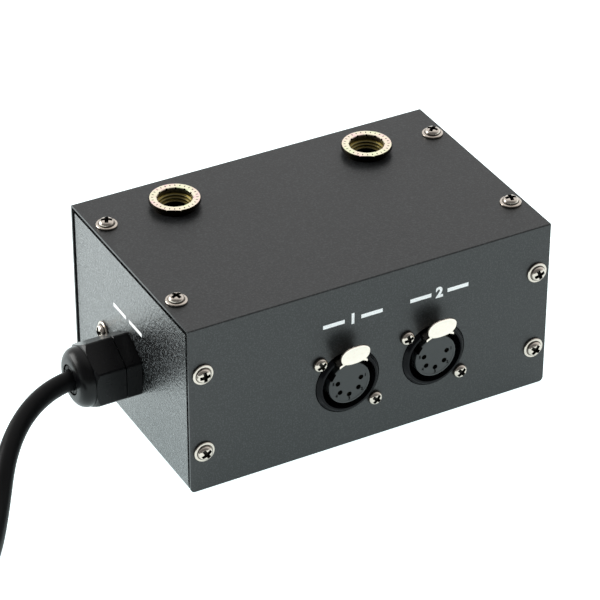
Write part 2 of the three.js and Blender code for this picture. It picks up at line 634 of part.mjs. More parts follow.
function fuseLink() {
  const half = fuse.length / 2;
  const glassEnd = half - fuse.capLength;
  return turned([
    [0, -half], [fuse.radius, -half], [fuse.radius, -glassEnd], [fuse.glassRadius, -glassEnd],
    [fuse.glassRadius, glassEnd], [fuse.radius, glassEnd], [fuse.radius, half], [0, half],
  ], sides.medium, "x", [terminalX, terminal.y + fuse.row, fuseHeight]);
}

// Twin wire from the supply's top to the board's back.
function supplyWires() {
  const top = floorTop + supply.height + gap;
  const x = supplyX + supply.width / 2 - supply.edge - wire.radius * 3;
  const y = supply.y - supply.depth / 2 + supply.edge + wire.radius * 3;
  const landing = -box.depth / 2 - boardBack + gap;
  const rise = top + (box.height - top) * wire.riseShare;
  const route = (shift) => [
    [x + shift, y, top], [x + shift, y, (top + rise) / 2], [x + shift, y - wire.radius * 3, rise],
    [x + shift, (y + landing) / 2, rise + wire.radius], [x + shift, landing + wire.radius * 4, rise],
    [x + shift, landing + wire.radius * 2, rise], [x + shift, landing, rise],
  ];
  const half = wire.radius - gap / 2;
  return union([-half, half].map((shift) =>
    sweep(curveThrough(route(shift)), wire.radius, wire.sides, wire.steps)));
}

// Flat cable from the inlet's board to the main board, hanging a little between them.
function inletRibbon() {
  const from = -box.depth / 2 - boardBack + gap;
  const to = box.depth / 2 + boardBack - gap;
  const steps = sides.medium / 2;
  const upper = [...Array(steps + 1).keys()].map((k) => {
    const share = k / steps;
    return [from + share * (to - from), ribbon.z - ribbon.sag * Math.sin(Math.PI * share) ** 2];
  });
  const lower = upper.map(([y, z]) => [y, z - ribbon.thickness]).reverse();
  return prism(polygon([...upper, ...lower]), "x", connector.inletX - ribbon.width / 2,
    connector.inletX + ribbon.width / 2);
}

// Earth lug: a ring on the screw inside the panel, with a tongue that the earth core is crimped in.
function earthLug() {
  const s = earth;
  const back = -box.sheet - gap - s.lugSheet;
  const ring = rod(s.lugRadius, back, back + s.lugSheet, sides.medium);
  const tongue = block([-s.tongueWidth / 2, 0, back],
    [s.tongueWidth / 2, s.lugRadius + s.tongueLength, back + s.lugSheet]);
  return ring.add(tongue).subtract(rod(shankHole, back - overrun, overrun, sides.small));
}

const earthNut = () => hexPrism(earth.nutAcross, 0, earth.nutHeight)
  .subtract(rod(shankHole, -overrun, earth.nutHeight + overrun, sides.small));

// Cable gland, standing on the left end

function glandBody() {
  const s = gland;
  const thread = rod(s.threadRadius, -s.threadLength, gap, sides.large);
  const hex = hexPrism(s.across, gap, s.bodyHex);
  const top = rod(s.sleeveRadius, s.bodyHex - gap, s.sleeveEnd, sides.large);
  return without(union([thread.add(rod(s.threadRadius, 0, s.bodyHex / 2, sides.large)), hex, top]), [
    rod(s.boreRadius, -s.threadLength - overrun, s.sleeveEnd, sides.medium),
    rod(s.sleeveBore, s.sleeveStart, s.sleeveEnd + overrun, sides.large),
  ]);
}

function glandSeal() {
  const s = gland;
  const outer = s.sleeveBore - gap;
  return turned([
    [lead.radius + gap, s.sleeveStart + gap], [outer, s.sleeveStart + gap], [outer, s.sleeveEnd],
    [s.throatRadius - gap, s.sleeveEnd + gap], [s.throatRadius - gap, s.throatEnd - gap],
    [s.sealTipRadius, s.throatEnd], [s.sealTipRadius, s.sealTip], [lead.radius + gap, s.sealTip],
    [lead.radius + gap, s.sleeveStart + gap],
  ], sides.large);
}

function glandNut() {
  const s = gland;
  const start = s.bodyHex + gap;
  const rise = s.length - s.nutHexEnd;
  const hex = hexPrism(s.across, start, s.nutHexEnd);
  const dome = turned([
    [0, s.nutHexEnd - gap], ...domeShares.map(([r, h]) => [r * s.domeRadius, s.nutHexEnd + h * rise]),
    [s.mouthRadius + s.mouthLip, s.length], [0, s.length],
  ], sides.large);
  return without(hex.add(dome), [
    rod(s.cavityRadius, start - overrun, s.cavityEnd, sides.large),
    rod(s.throatRadius, s.cavityEnd - gap, s.throatEnd, sides.large),
    rod(s.mouthRadius, s.throatEnd - gap, s.length + overrun, sides.large),
  ]);
}

const glandLocknut = () => hexPrism(gland.locknutAcross, 0, gland.locknutHeight)
  .subtract(rod(gland.threadRadius + gap, -overrun, gland.locknutHeight + overrun, sides.large));

// The lead inside the gland and the box: its sheath, then three cores to the terminal and the lug.
const panelX = -box.width / 2 + tray.recess;

function mainsTail() {
  const end = panelX + wire.sheathInside;
  const sheath = rod(lead.radius, panelX - lead.start + gap, end, sides.medium, "x",
    [0, gland.y, gland.z]);
  const apart = wire.radius + gap;
  const start = end - lead.radius;
  const drop = (x, shift) => [
    [start, gland.y + shift, gland.z], [end, gland.y + shift, gland.z],
    [(end + x) / 2, (gland.y + terminal.y) / 2 + shift, gland.z - wire.radius],
    [x, terminal.y + terminal.holeRow / 2, (gland.z + terminalTop) / 2 + wire.radius * 3],
    [x, terminal.y + terminal.holeRow, terminalTop + lead.radius],
    [x, terminal.y + terminal.holeRow, terminalTop - terminal.holeDepth + wire.radius],
  ];
  const lugEnd = earth.z + earth.lugRadius + earth.tongueLength + gap;
  const lugX = panelX + box.sheet + gap + wire.radius;
  const earthRoute = [
    [start, gland.y, gland.z + apart], [end, gland.y, gland.z + apart],
    [end + wire.radius * 2, gland.y + wire.radius * 4, gland.z + lead.radius * 2],
    [end, (gland.y + earth.y) / 2, lugEnd + lead.radius],
    [(end + lugX) / 2, earth.y - wire.radius * 4, lugEnd + wire.radius * 6],
    [lugX + wire.radius, earth.y - gap, lugEnd + wire.radius * 4], [lugX, earth.y, lugEnd + wire.radius],
    [lugX, earth.y, lugEnd],
  ];
  const cores = [
    drop(terminalX - terminal.holePitch, -apart), drop(terminalX, apart), earthRoute,
  ].map((route) => sweep(curveThrough(route), wire.radius, wire.sides, wire.steps));
  return union([sheath, ...cores]);
}

// Mains lead

function coilPoint(turn) {
  const rounds = coil.turnsIn + coil.turnsOut;
  const held = Math.min(Math.max(turn, 0), rounds);
  const inward = Math.min(held, 2 * coil.turnsIn - held);
  const radius = coil.radius - coil.pitch * inward;
  const climbed = held - coil.turnsIn + coil.climbTurns / 2;
  const climb = Math.min(Math.max(climbed / coil.climbTurns, 0), 1);
  const angle = THREE.MathUtils.degToRad(coil.startDegrees) - held * Math.PI * 2;
  return new THREE.Vector3(coil.x + radius * Math.cos(angle), coil.y + radius * Math.sin(angle),
    lead.radius + coil.pitch * climb);
}

// The coil's centre line: the turns, then one diameter straight on at each end.
function coilLine() {
  const rounds = coil.turnsIn + coil.turnsOut;
  const count = Math.round(rounds * coil.steps);
  const turns = [...Array(count + 1).keys()].map((k) => coilPoint((k / count) * rounds));
  const straight = (from, past) => from.clone().sub(past).setZ(0).normalize()
    .multiplyScalar(lead.radius * 2).add(from);
  const beside = 1 / coil.steps / 4;
  const first = straight(turns[0], coilPoint(beside));
  const last = straight(turns[count], coilPoint(rounds - beside));
  return [first, ...turns, last];
}

function tubeAlong(line, radius, around) {
  const positions = [];
  const index = [];
  const up = new THREE.Vector3(0, 0, 1);
  line.forEach((point, i) => {
    const before = line[Math.max(i - 1, 0)];
    const after = line[Math.min(i + 1, line.length - 1)];
    const ahead = after.clone().sub(before).normalize();
    const side = up.clone().cross(ahead).normalize();
    const lift = ahead.clone().cross(side);
    for (let k = 0; k < around; k += 1) {
      const a = (k / around) * Math.PI * 2;
      const spot = point.clone().addScaledVector(side, radius * Math.cos(a))
        .addScaledVector(lift, radius * Math.sin(a));
      positions.push(spot.x, spot.y, spot.z);
    }
  });
  const ring = (i, k) => i * around + (k % around);
  for (let i = 0; i + 1 < line.length; i += 1)
    for (let k = 0; k < around; k += 1) {
      index.push(ring(i, k), ring(i, k + 1), ring(i + 1, k + 1));
      index.push(ring(i, k), ring(i + 1, k + 1), ring(i + 1, k));
    }
  const last = line.length - 1;
  for (let k = 1; k + 1 < around; k += 1) {
    index.push(ring(0, 0), ring(0, k + 1), ring(0, k));
    index.push(ring(last, 0), ring(last, k), ring(last, k + 1));
  }
  const geometry = new THREE.BufferGeometry();
  geometry.setAttribute("position", new THREE.Float32BufferAttribute(positions, 3));
  geometry.setIndex(index);
  return solidOf(geometry);
}

// Least distance between stretches of the line that are over a quarter turn apart, less a diameter.
function leastGap(line) {
  let least = Infinity;
  const apart = coil.steps / 2;
  for (let i = 0; i < line.length; i += 1)
    for (let k = i + apart; k < line.length; k += 1)
      least = Math.min(least, line[i].distanceTo(line[k]));
  return least - lead.radius * 2;
}

const routeLength = (points) => points.slice(1)
  .reduce((sum, point, i) => sum + point.distanceTo(points[i]), 0);
const coilRoute = coilLine();
const beyond = (end, inner, distance) => end.clone()
  .addScaledVector(end.clone().sub(inner).normalize(), distance);
const coilStart = beyond(coilRoute[0], coilRoute[1], gap);
const coilEnd = beyond(coilRoute.at(-1), coilRoute.at(-2), gap);

const leadCurve = curveThrough([
  [panelX - lead.start, gland.y, gland.z], ...leadRoute,
  beyond(coilRoute[0], coilRoute[1], lead.run).toArray(), coilStart.toArray(),
]);

// The plug lies on the rims of its face and of its relief, nose up
const plugAim = THREE.MathUtils.degToRad(plug.aimDegrees);
const plugGripAt = plug.reliefLength + plug.flareLength;
const plugFlareAt = plug.reliefLength + plug.gripLength;
const plugFaceAt = plugFlareAt + plug.faceLength;
const plugTilt = Math.atan((plug.faceRadius - plug.reliefRadius)
  / (plugFlareAt + plug.flareLength));
const plugAxis = new THREE.Vector3(Math.cos(plugAim) * Math.cos(plugTilt),
  Math.sin(plugAim) * Math.cos(plugTilt), Math.sin(plugTilt));
const plugTail = new THREE.Vector3(plug.x, plug.y,
  plug.reliefRadius * Math.cos(plugTilt) + seated);
const beforePlug = plugTail.clone().addScaledVector(plugAxis, -gap);
const plugCurve = curveThrough([
  coilEnd.toArray(), beyond(coilRoute.at(-1), coilRoute.at(-2), lead.run).toArray(),
  ...plugRoute, beforePlug.clone().addScaledVector(plugAxis, -plug.leadIn).toArray(),
  beforePlug.toArray(),
]);

function plugBody() {
  const s = plug;
  const body = turned([
    [0, 0], [s.reliefRadius, 0], [s.reliefEnd, s.reliefLength], [s.gripRadius, plugGripAt],
    [s.gripRadius, plugFlareAt - s.flareLength], [s.faceRadius, plugFlareAt + s.flareLength],
    [s.faceRadius, plugFaceAt], [0, plugFaceAt],
  ], sides.large);
  const u = s.bridgeWidth / 2 + gap;
  const v = s.bridgeHeight / 2 + gap;
  const recess = block([-u, -v, plugFaceAt - s.bridgeDepth - gap], [u, v, plugFaceAt + overrun]);
  const notches = [-1, 1].map((k) => {
    const y0 = k * (s.faceRadius - s.earthDepth);
    const y1 = k * (s.faceRadius + overrun);
    return block([-s.earthWidth / 2, Math.min(y0, y1), plugFlareAt + s.flareLength],
      [s.earthWidth / 2, Math.max(y0, y1), plugFaceAt + overrun]);
  });
  return without(body, [recess, ...notches]);
}

function plugPins() {
  const s = plug;
  const bridge = block([-s.bridgeWidth / 2, -s.bridgeHeight / 2, plugFaceAt - s.bridgeDepth],
    [s.bridgeWidth / 2, s.bridgeHeight / 2, plugFaceAt]);
  const pins = [-1, 1].map((k) => turned([
    [0, plugFaceAt - s.bridgeDepth / 2], [s.pinRadius, plugFaceAt - s.bridgeDepth / 2],
    [s.pinRadius, plugFaceAt + s.pinLength - s.pinRadius / 2],
    [s.pinRadius / 2, plugFaceAt + s.pinLength], [0, plugFaceAt + s.pinLength],
  ], sides.small, "z", [(k * s.pinSpacing) / 2, 0, 0]));
  return union([bridge, ...pins]);
}

// Assembly

splitter.add(meshOf("cover", cover(), paint));
splitter.add(meshOf("base_tray", baseTray(), paint));

const bodyScrew = screw(coverScrew);
const smallPan = screw(smallScrew);
let number = 0;
for (const end of [-1, 1])
  for (const side of [-1, 1]) {
    number += 1;
    place(splitter, meshOf(`cover_screw_top_${number}`, bodyScrew, nickel), end * screwX,
      side * topScrewY, box.height + seated);
  }
for (const [name, panel] of [["front", front], ["rear", rear]]) {
  number = 0;
  for (const end of [-1, 1])
    for (const z of screwHeights) {
      number += 1;
      place(panel.upright, meshOf(`cover_screw_${name}_${number}`, bodyScrew, nickel), end * screwX, z,
        seated);
    }
}

const lugFloor = -box.sheet - gap - earth.lugSheet;
place(left.upright, meshOf("earth_screw", bodyScrew, nickel), -earth.y, earth.z, seated);
place(left.upright, meshOf("earth_lug", earthLug(), nickel), -earth.y, earth.z, 0);
place(left.upright, meshOf("earth_nut", earthNut(), nickel), -earth.y, earth.z,
  lugFloor - gap - earth.nutHeight);

[-1, 1].forEach((side, k) => {
  place(splitter, meshOf(`lock_receptacle_${k + 1}`, lockReceptacle(), zinc), side * receptacleX,
    receptacleY, box.height + seated);
  place(splitter, meshOf(`receptacle_nut_${k + 1}`, receptacleNut(), zinc), side * receptacleX,
    receptacleY, innerTop - gap - receptacle.nutHeight);
});

function placeShellScrews(parent, nameOf) {
  ["upper", "lower"].forEach((end, k) => {
    place(parent, meshOf(nameOf(end), smallPan, nickel), ...shellScrews[k], seated);
  });
}

connector.outletX.forEach((x, k) => {
  const outlet = new THREE.Group();
  outlet.position.set(x, connector.z, 0);
  outlet.add(
    meshOf(`outlet_housing_${k + 1}`, outletHousing(), blackMetal),
    meshOf(`outlet_insert_${k + 1}`, outletInsert(), insulator),
    meshOf(`outlet_latch_${k + 1}`, outletLatch(), nickel),
    meshOf(`outlet_latch_spring_${k + 1}`, latchSpring(), nickel),
  );
  placeShellScrews(outlet, (end) => `outlet_screw_${k + 1}_${end}`);
  front.upright.add(outlet);
});

const inletGroup = new THREE.Group();
inletGroup.position.set(-connector.inletX, connector.z, 0);
inletGroup.add(
  meshOf("inlet_housing", inletHousing(), blackMetal),
  meshOf("inlet_insert", inletInsert(), insulator),
  meshOf("inlet_board", inletBoard(), laminate),
);
placeShellScrews(inletGroup, (end) => `inlet_screw_${end}`);
rear.upright.add(inletGroup);

front.upright.add(meshOf("main_board", mainBoard(), laminate));
place(front.upright, meshOf("receiver_chip", chipBody(), epoxy), receiverChip.x, receiverChip.z, 0);
driverChip.x.forEach((x, k) => {
  place(front.upright, meshOf(`line_driver_chip_${k + 1}`, chipBody(), epoxy), x, driverChip.z, 0);
});
place(front.upright, meshOf("smoothing_capacitor", capacitorBody(), sleeve), capacitor.x, capacitor.z, 0);

splitter.add(meshOf("mains_supply", mainsSupply(), epoxy));
const lugTop = floorTop + supply.lugHeight + seated;
const supplyScrew = screw({ ...smallScrew, shankLength: lugTop - gap });
[-1, 1].forEach((side, k) => {
  place(splitter, meshOf(`supply_screw_${k + 1}`, supplyScrew, nickel), supplyLugX(side), supply.y, lugTop);
});
splitter.add(meshOf("mains_terminal", mainsTerminal(), greenPlastic));
splitter.add(meshOf("fuse", fuseLink(), glass));
splitter.add(meshOf("supply_wires", supplyWires(), redWire));
splitter.add(meshOf("inlet_ribbon", inletRibbon(), greyWire));
splitter.add(meshOf("mains_tail", mainsTail(), rubber));

const glandGroup = new THREE.Group();
glandGroup.position.set(-gland.y, gland.z, 0);
glandGroup.add(
  meshOf("gland_body", glandBody(), nylon),
  meshOf("gland_seal", glandSeal(), rubber),
  meshOf("gland_nut", glandNut(), nylon),
);
place(glandGroup, meshOf("gland_locknut", glandLocknut(), nylon), 0, 0,
  -box.sheet - gap - gland.locknutHeight);
left.upright.add(glandGroup);

splitter.add(meshOf("mains_lead", sweep(leadCurve, lead.radius, lead.sides, lead.steps), rubber));
splitter.add(meshOf("mains_coil", tubeAlong(coilRoute, lead.radius, coil.sides), rubber));
splitter.add(meshOf("plug_lead", sweep(plugCurve, lead.radius, lead.sides, lead.steps / 2), rubber));
const plugGroup = new THREE.Group();
plugGroup.position.copy(plugTail);
plugGroup.quaternion.setFromUnitVectors(new THREE.Vector3(0, 0, 1), plugAxis);
plugGroup.add(meshOf("mains_plug", plugBody(), nylon), meshOf("plug_pins", plugPins(), nickel));
splitter.add(plugGroup);

const leadLength = leadCurve.getLength() + routeLength(coilRoute) + plugCurve.getLength();
console.log(`coil: least gap to itself ${leastGap(coilRoute).toFixed(2)} mm`);
console.log(`mains lead: ${leadLength.toFixed(0)} mm from the gland to the plug`);

export default splitter;
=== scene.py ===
# The looks of a two-way splitter box for stage lighting data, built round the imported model.
# Pieces are modelled in millimetres, most of them in the frame of the panel that they sit on
# (x to the right, y up, z out of the panel), and are then settled in metres in the model's frame.

import contextlib
import math

import bmesh
import bpy
from bpy.props import FloatProperty, FloatVectorProperty, IntProperty, PointerProperty
from mathutils import Euler, Matrix, Vector


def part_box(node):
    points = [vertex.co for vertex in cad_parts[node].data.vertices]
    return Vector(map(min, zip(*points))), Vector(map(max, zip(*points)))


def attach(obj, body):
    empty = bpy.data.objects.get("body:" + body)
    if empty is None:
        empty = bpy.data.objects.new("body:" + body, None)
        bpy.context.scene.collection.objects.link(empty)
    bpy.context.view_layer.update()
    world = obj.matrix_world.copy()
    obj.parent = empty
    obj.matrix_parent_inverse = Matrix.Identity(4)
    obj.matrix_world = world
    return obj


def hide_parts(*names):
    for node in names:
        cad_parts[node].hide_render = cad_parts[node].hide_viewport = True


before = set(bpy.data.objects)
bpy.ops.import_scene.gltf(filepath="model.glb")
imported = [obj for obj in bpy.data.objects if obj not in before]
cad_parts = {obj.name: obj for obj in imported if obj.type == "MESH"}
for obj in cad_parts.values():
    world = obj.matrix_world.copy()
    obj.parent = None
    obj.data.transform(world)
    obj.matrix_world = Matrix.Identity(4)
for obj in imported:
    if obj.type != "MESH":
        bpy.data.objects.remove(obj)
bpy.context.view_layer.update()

bl_info = {
    "name": "Lighting data splitter",
    "version": (1, 0, 0),
    "blender": (4, 5, 0),
    "location": "3D View > Sidebar > Splitter",
    "description": "Models and finishes a two-way splitter box for stage lighting data",
    "category": "Object",
}

MM = 0.001
IMAGE_SIZE = 600


# Places that the frame gives, in millimetres

def low_corner(node):
    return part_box(node)[0] / MM


def high_corner(node):
    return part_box(node)[1] / MM


def centre(node):
    return (low_corner(node) + high_corner(node)) / 2


def panel(right, up, place):
    """A panel's frame: its columns are right, up and outwards, and its origin is the place."""
    right = Vector(right)
    up = Vector(up)
    turn = Matrix((right, up, right.cross(up))).transposed()
    return Matrix.Translation(place) @ turn.to_4x4()


BOX_LOW = low_corner("cover")
BOX_HIGH = high_corner("cover")
TRAY_LOW = low_corner("base_tray")
TRAY_HIGH = high_corner("base_tray")
TOP = panel((1, 0, 0), (0, 1, 0), (0, 0, BOX_HIGH.z))
FRONT = panel((1, 0, 0), (0, 0, 1), (0, BOX_LOW.y, 0))
REAR = panel((-1, 0, 0), (0, 0, 1), (0, BOX_HIGH.y, 0))
LEFT = panel((0, -1, 0), (0, 0, 1), (TRAY_LOW.x, 0, 0))
UNTURNED = Matrix.Identity(4)


def on_panel(panel_frame, node, lift=0.0, turn_degrees=0.0):
    """The frame at a node's centre, lifted off a panel and turned about its outward axis."""
    spot = panel_frame.inverted() @ centre(node)
    spot.z = lift
    turn = Matrix.Rotation(math.radians(turn_degrees), 4, "Z")
    return panel_frame @ Matrix.Translation(spot) @ turn


# Sizes in millimetres, by the piece that has them

GAP = 0.3
# How far a cutter reaches past what it cuts, and how near counts as the same place
OVERRUN = 3
NEAR = 0.01
# Edges that turn by less than this are shaded as smooth
SMOOTH_DEGREES = {"sheet": 35, "screw": 32, "receptacle": 28, "connector": 38, "latch": 32,
                  "gland": 38, "plug": 35, "print": 20}
TRAY = {"flange": 11, "relief": 3, "set_back": 0.9}
COVER_SCREW = {"shank": 1.4, "shank_length": 6, "flange": 3.8, "flange_height": 0.7, "head": 2.75,
               "height": 2.4, "cross_span": 4.6, "cross_width": 1.5, "cross_depth": 1.6}
SMALL_SCREW = {"shank": 1.2, "shank_length": 6.5, "flange": 2.6, "flange_height": 0.35, "head": 2.6,
               "height": 1.9, "cross_span": 4.3, "cross_width": 1.4, "cross_depth": 1.4}
SCREW_SEAT = 0.1
COVER_SCREW_TURNS = {"top": (18, 64, -12, 37), "front": (33, 5, 52, 20), "rear": (11, 71, 40, -8)}
EARTH_SCREW_TURN = 24
SMALL_SCREW_TURNS = {"outlet_screw_1": (28, 50), "outlet_screw_2": (15, 40), "inlet_screw": (60, 8)}
RING = {"outer": 9.2, "neck": 8.2, "neck_height": 1.5, "height": 2.9, "chamfer": 0.35, "barrel": 7.7,
        "barrel_length": 14, "steps": ((6.2, 2.4), (5.7, 3.4), (5.2, 4.4)), "deep": 4.6, "floor": 1.6,
        "flat": 0.5, "notch": 0.35, "notches": 12, "notch_depth": 0.6, "tick_inner": 7.35,
        "tick_outer": 8.35, "tick_inset": 0.12, "tick_depth": 0.3, "turn_degrees": -29}
SHELL = {"radius": 12.1, "rim": 11.2, "proud": 1.3, "bore": 10.3, "depth": 18, "back_wall": 2,
         "flange_width": 28, "flange_height": 27, "flange_corner": 3, "flange_back": 1.5,
         "flange_thickness": 2.4, "boss": 2.7, "boss_length": 4.5, "screw_hole": 1.5,
         "screw_hole_depth": 12}
INSERT = {"radius": 8, "proud": 1.5, "back": 18.6, "hole": 0.95, "circle": 4.6, "key_half": 1.5,
          "key_depth": 1.0, "key_length": 7, "key_degrees": 147}
INLET = {"bore": 9.6, "back_wall": 3, "rear_hole": 7, "disc": 3.5, "hole": 1.15}
CONTACT_DEGREES = (12, -39, -90, -141, 168)
LATCH = {"inner": 10.55, "sheet": 0.8, "half_width": 5.4, "front": 4.3, "pivot_height": 9.6,
         "pivot_depth": 7, "tail": 1.2, "pin": 0.65, "pin_inner": 5.2, "pin_end": 8,
         "slot_half": 5.9, "slot_floor": 8.6, "slot_depth": 12, "ear_half": 8.4, "ear_low": 7.4,
         "ear_high": 11.4, "ear_reach": 2.3, "pin_hole": 0.85, "tooth_half": 1.5,
         "tooth_inner": 9.2, "tooth_front": 0.5, "tooth_back": 2.5, "tab_height": 13.9,
         "tab_half_width": 5.55, "tab_half_height": 3.9, "tab_degrees": 10, "tab_out": 5.2,
         "tab_squareness": 2.4, "tab_dish": ((0.75, 0), (0.35, 0.14), (0.6, 0.03)),
         "skirt_half": 4.6, "skirt_low": 10.5}
RIVET = {"radius": 0.6, "head": 1.1, "seat": 13.1, "height": 0.5, "depth": 14.5}
GLAND = {"across": 22, "thread": 9, "thread_length": 9, "bore": 4.2, "body": 6, "sleeve": 8.6,
         "sleeve_bore": 7.2, "sleeve_start": 7, "sleeve_end": 12.8, "nut_hex_end": 17.4,
         "length": 22.3, "dome": 10.8, "mouth": 5.6, "lip": 0.6, "cavity": 8.9, "cavity_end": 13.4,
         "throat": 6.4, "throat_end": 20.4, "tip_radius": 5.2, "tip": 22.1, "hex_corner": 0.7,
         "slits": 8, "slit_half": 0.22, "slit_depth": 1.1}
DOME_SHARES = ((1, 0), (0.998, 0.16), (0.99, 0.34), (0.965, 0.5), (0.93, 0.64), (0.88, 0.77),
               (0.82, 0.87), (0.755, 0.94), (0.69, 0.985))

# Mains lead: the listed points of its free stretches, as the CAD has them, and its coil
LEAD_RADIUS = 3.5
LEAD_START = (-83.75, 1.7, 25.3)
LEAD_ROUTE = (
    (-87.5, 1.7, 25.3), (-91.3, 1.6, 25.3), (-97.1, 0.7, 25), (-102.5, -0.9, 24.4),
    (-108.2, -3.5, 23.3), (-114, -7.2, 21.6), (-119.6, -12, 19.3), (-124.4, -17.2, 16.4),
    (-127.7, -21.5, 13.6), (-131.2, -26.7, 9.9), (-135.4, -33.2, 6.5), (-140.4, -40.9, 4.2),
    (-145.2, -48, 3.6),
)
PLUG_ROUTE = (
    (-244.2, -7.2, 10.3), (-242.2, 0.7, 8.9), (-239, 7.9, 7.2), (-234.8, 14.4, 5.8),
    (-229.9, 19.4, 4.9), (-224.4, 23.3, 4.3), (-217.4, 26.3, 3.7), (-210, 27.8, 3.7),
)
COIL = {"x": -201, "y": -41.2, "radius": 48.5, "pitch": 7.6, "start_degrees": -37,
        "turns_in": 2.75, "turns_out": 2.68, "climb_turns": 0.5, "steps": 48, "run": 9}
PLUG = {"x": -201, "y": 28, "aim_degrees": 0, "relief_length": 22, "relief": 4.8, "relief_end": 6.6,
        "grip_length": 27, "grip": 11, "face": 18, "face_length": 17, "flare": 4, "pin": 2.4,
        "pin_length": 19, "pin_spacing": 19, "bridge_width": 26, "bridge_height": 9,
        "bridge_depth": 6, "earth_width": 6.5, "earth_depth": 2.4, "lead_in": 1, "seat": 0.1,
        "ribs": 6, "groove_depth": 0.9, "groove_starts": 0.35, "groove_ends": 1.25,
        "groove_width": 1.6, "flutes": 14, "flute": 1, "flute_out": 0.5, "flute_ends": 2.5}

# The camera that the photograph was taken with, in metres, degrees and pixels of the photograph
CAMERA = {"place": (-0.43810, -0.79643, 0.63472), "turn_degrees": (56.364, -0.125, -28.522),
          "focal_pixels": 3102.9, "sensor_width": 36, "clip": (0.02, 50)}


# Modelling by hand: selecting, cutting and turning

def deselect():
    if bpy.context.mode != "OBJECT":
        bpy.ops.object.mode_set(mode="OBJECT")
    bpy.ops.object.select_all(action="DESELECT")


def take(*pieces):
    """Selects these objects only and makes the last one active."""
    deselect()
    for piece in pieces:
        piece.select_set(True)
    bpy.context.view_layer.objects.active = pieces[-1]


@contextlib.contextmanager
def editing(piece):
    take(piece)
    bpy.ops.object.mode_set(mode="EDIT")
    yield
    bpy.ops.object.mode_set(mode="OBJECT")


def pick(kind, test):
    """Selects the vertices, edges or faces of the edited mesh that pass the test, and no other."""
    bpy.ops.mesh.select_mode(type=kind)
    bpy.ops.mesh.select_all(action="DESELECT")
    data = bpy.context.edit_object.data
    shape = bmesh.from_edit_mesh(data)
    for item in {"VERT": shape.verts, "EDGE": shape.edges, "FACE": shape.faces}[kind]:
        if test(item):
            item.select_set(True)
    bmesh.update_edit_mesh(data)


def middle(edge):
    return (edge.verts[0].co + edge.verts[1].co) / 2


def runs_along(edge, axis):
    step = (edge.verts[1].co - edge.verts[0].co).normalized()
    return abs(step[axis]) > 0.99


def modify(piece, kind, **settings):
    """Adds a modifier to the piece and applies it."""
    take(piece)
    modifier = piece.modifiers.new(kind.title(), kind)
    for key, value in settings.items():
        setattr(modifier, key, value)
    bpy.ops.object.modifier_apply(modifier=modifier.name)


def cut(piece, cutters, operation="DIFFERENCE"):
    """Cuts the piece by each cutter in turn, and deletes the cutters."""
    for cutter in cutters:
        modify(piece, "BOOLEAN", object=cutter, operation=operation, solver="EXACT")
        bpy.data.objects.remove(cutter, do_unlink=True)
    return piece


def apply_place(piece):
    take(piece)
    bpy.ops.object.transform_apply(location=True, rotation=True, scale=True)
    return piece


def block(name, corner, opposite):
    """A box between two opposite corners, given in either order."""
    low = Vector(map(min, corner, opposite))
    high = Vector(map(max, corner, opposite))
    deselect()
    bpy.ops.mesh.primitive_cube_add(size=1, location=(low + high) / 2, scale=high - low)
    piece = bpy.context.active_object
    piece.name = name
    return apply_place(piece)


AXIS_TURNS = {"x": (0, math.pi / 2, 0), "y": (math.pi / 2, 0, 0), "z": (0, 0, 0)}


def rod(name, radius, start, end, sides=48, axis="z", at=(0, 0, 0)):
    """A cylinder or prism along an axis between its ends, centred on the other two of at."""
    place = Vector(at)
    place["xyz".index(axis)] = (start + end) / 2
    deselect()
    bpy.ops.mesh.primitive_cylinder_add(vertices=sides, radius=radius, depth=abs(end - start))
    piece = bpy.context.active_object
    piece.name = name
    piece.matrix_world = Matrix.Translation(place) @ Euler(AXIS_TURNS[axis]).to_matrix().to_4x4()
    return apply_place(piece)


def round_upright(piece, radius, segments):
    """Rounds the edges that run along z."""
    with editing(piece):
        pick("EDGE", lambda edge: runs_along(edge, 2))
        bpy.ops.mesh.bevel(offset=radius, segments=segments, affect="EDGES")
    return piece


def hexagon(name, across, low, high):
    """A hexagonal prism with slightly rounded corners."""
    prism = rod(name, across / math.sqrt(3), low, high, sides=6)
    return round_upright(prism, GLAND["hex_corner"], segments=4)


def turned(name, outline, sides=64):
    """A body of revolution about z, from an outline of (radius, height) points."""
    deselect()
    bpy.ops.mesh.primitive_plane_add(size=1)
    piece = bpy.context.active_object
    piece.name = name
    with editing(piece):
        bpy.ops.mesh.select_mode(type="VERT")
        bpy.ops.mesh.select_all(action="SELECT")
        bpy.ops.mesh.merge(type="CENTER")
        first_radius, first_height = outline[0]
        bpy.ops.transform.translate(value=(first_radius, 0, first_height))
        for (radius, height), (next_radius, next_height) in zip(outline, outline[1:]):
            step = (next_radius - radius, 0, next_height - height)
            bpy.ops.mesh.extrude_region_move(TRANSFORM_OT_translate={"value": step})
        bpy.ops.mesh.select_all(action="SELECT")
        bpy.ops.mesh.spin(steps=sides, angle=math.tau, center=(0, 0, 0), axis=(0, 0, 1))
        bpy.ops.mesh.select_all(action="SELECT")
        bpy.ops.mesh.remove_doubles(threshold=0.0005)
        bpy.ops.mesh.normals_make_consistent(inside=False)
    return piece


def around(count, radius, first=0):
    """Evenly spaced points on a circle, as (x, y), the first of them so many steps on from x."""
    for k in range(count):
        angle = math.tau * (k + first) / count
        yield radius * math.cos(angle), radius * math.sin(angle)


def copy_of(piece, name):
    twin = piece.copy()
    twin.data = piece.data.copy()
    twin.name = name
    bpy.context.collection.objects.link(twin)
    return twin


def soften(piece, width, segments=2, over_degrees=30):
    """Breaks the sharp edges."""
    modify(piece, "BEVEL", width=width, segments=segments, limit_method="ANGLE",
           angle_limit=math.radians(over_degrees), harden_normals=False)
    return piece


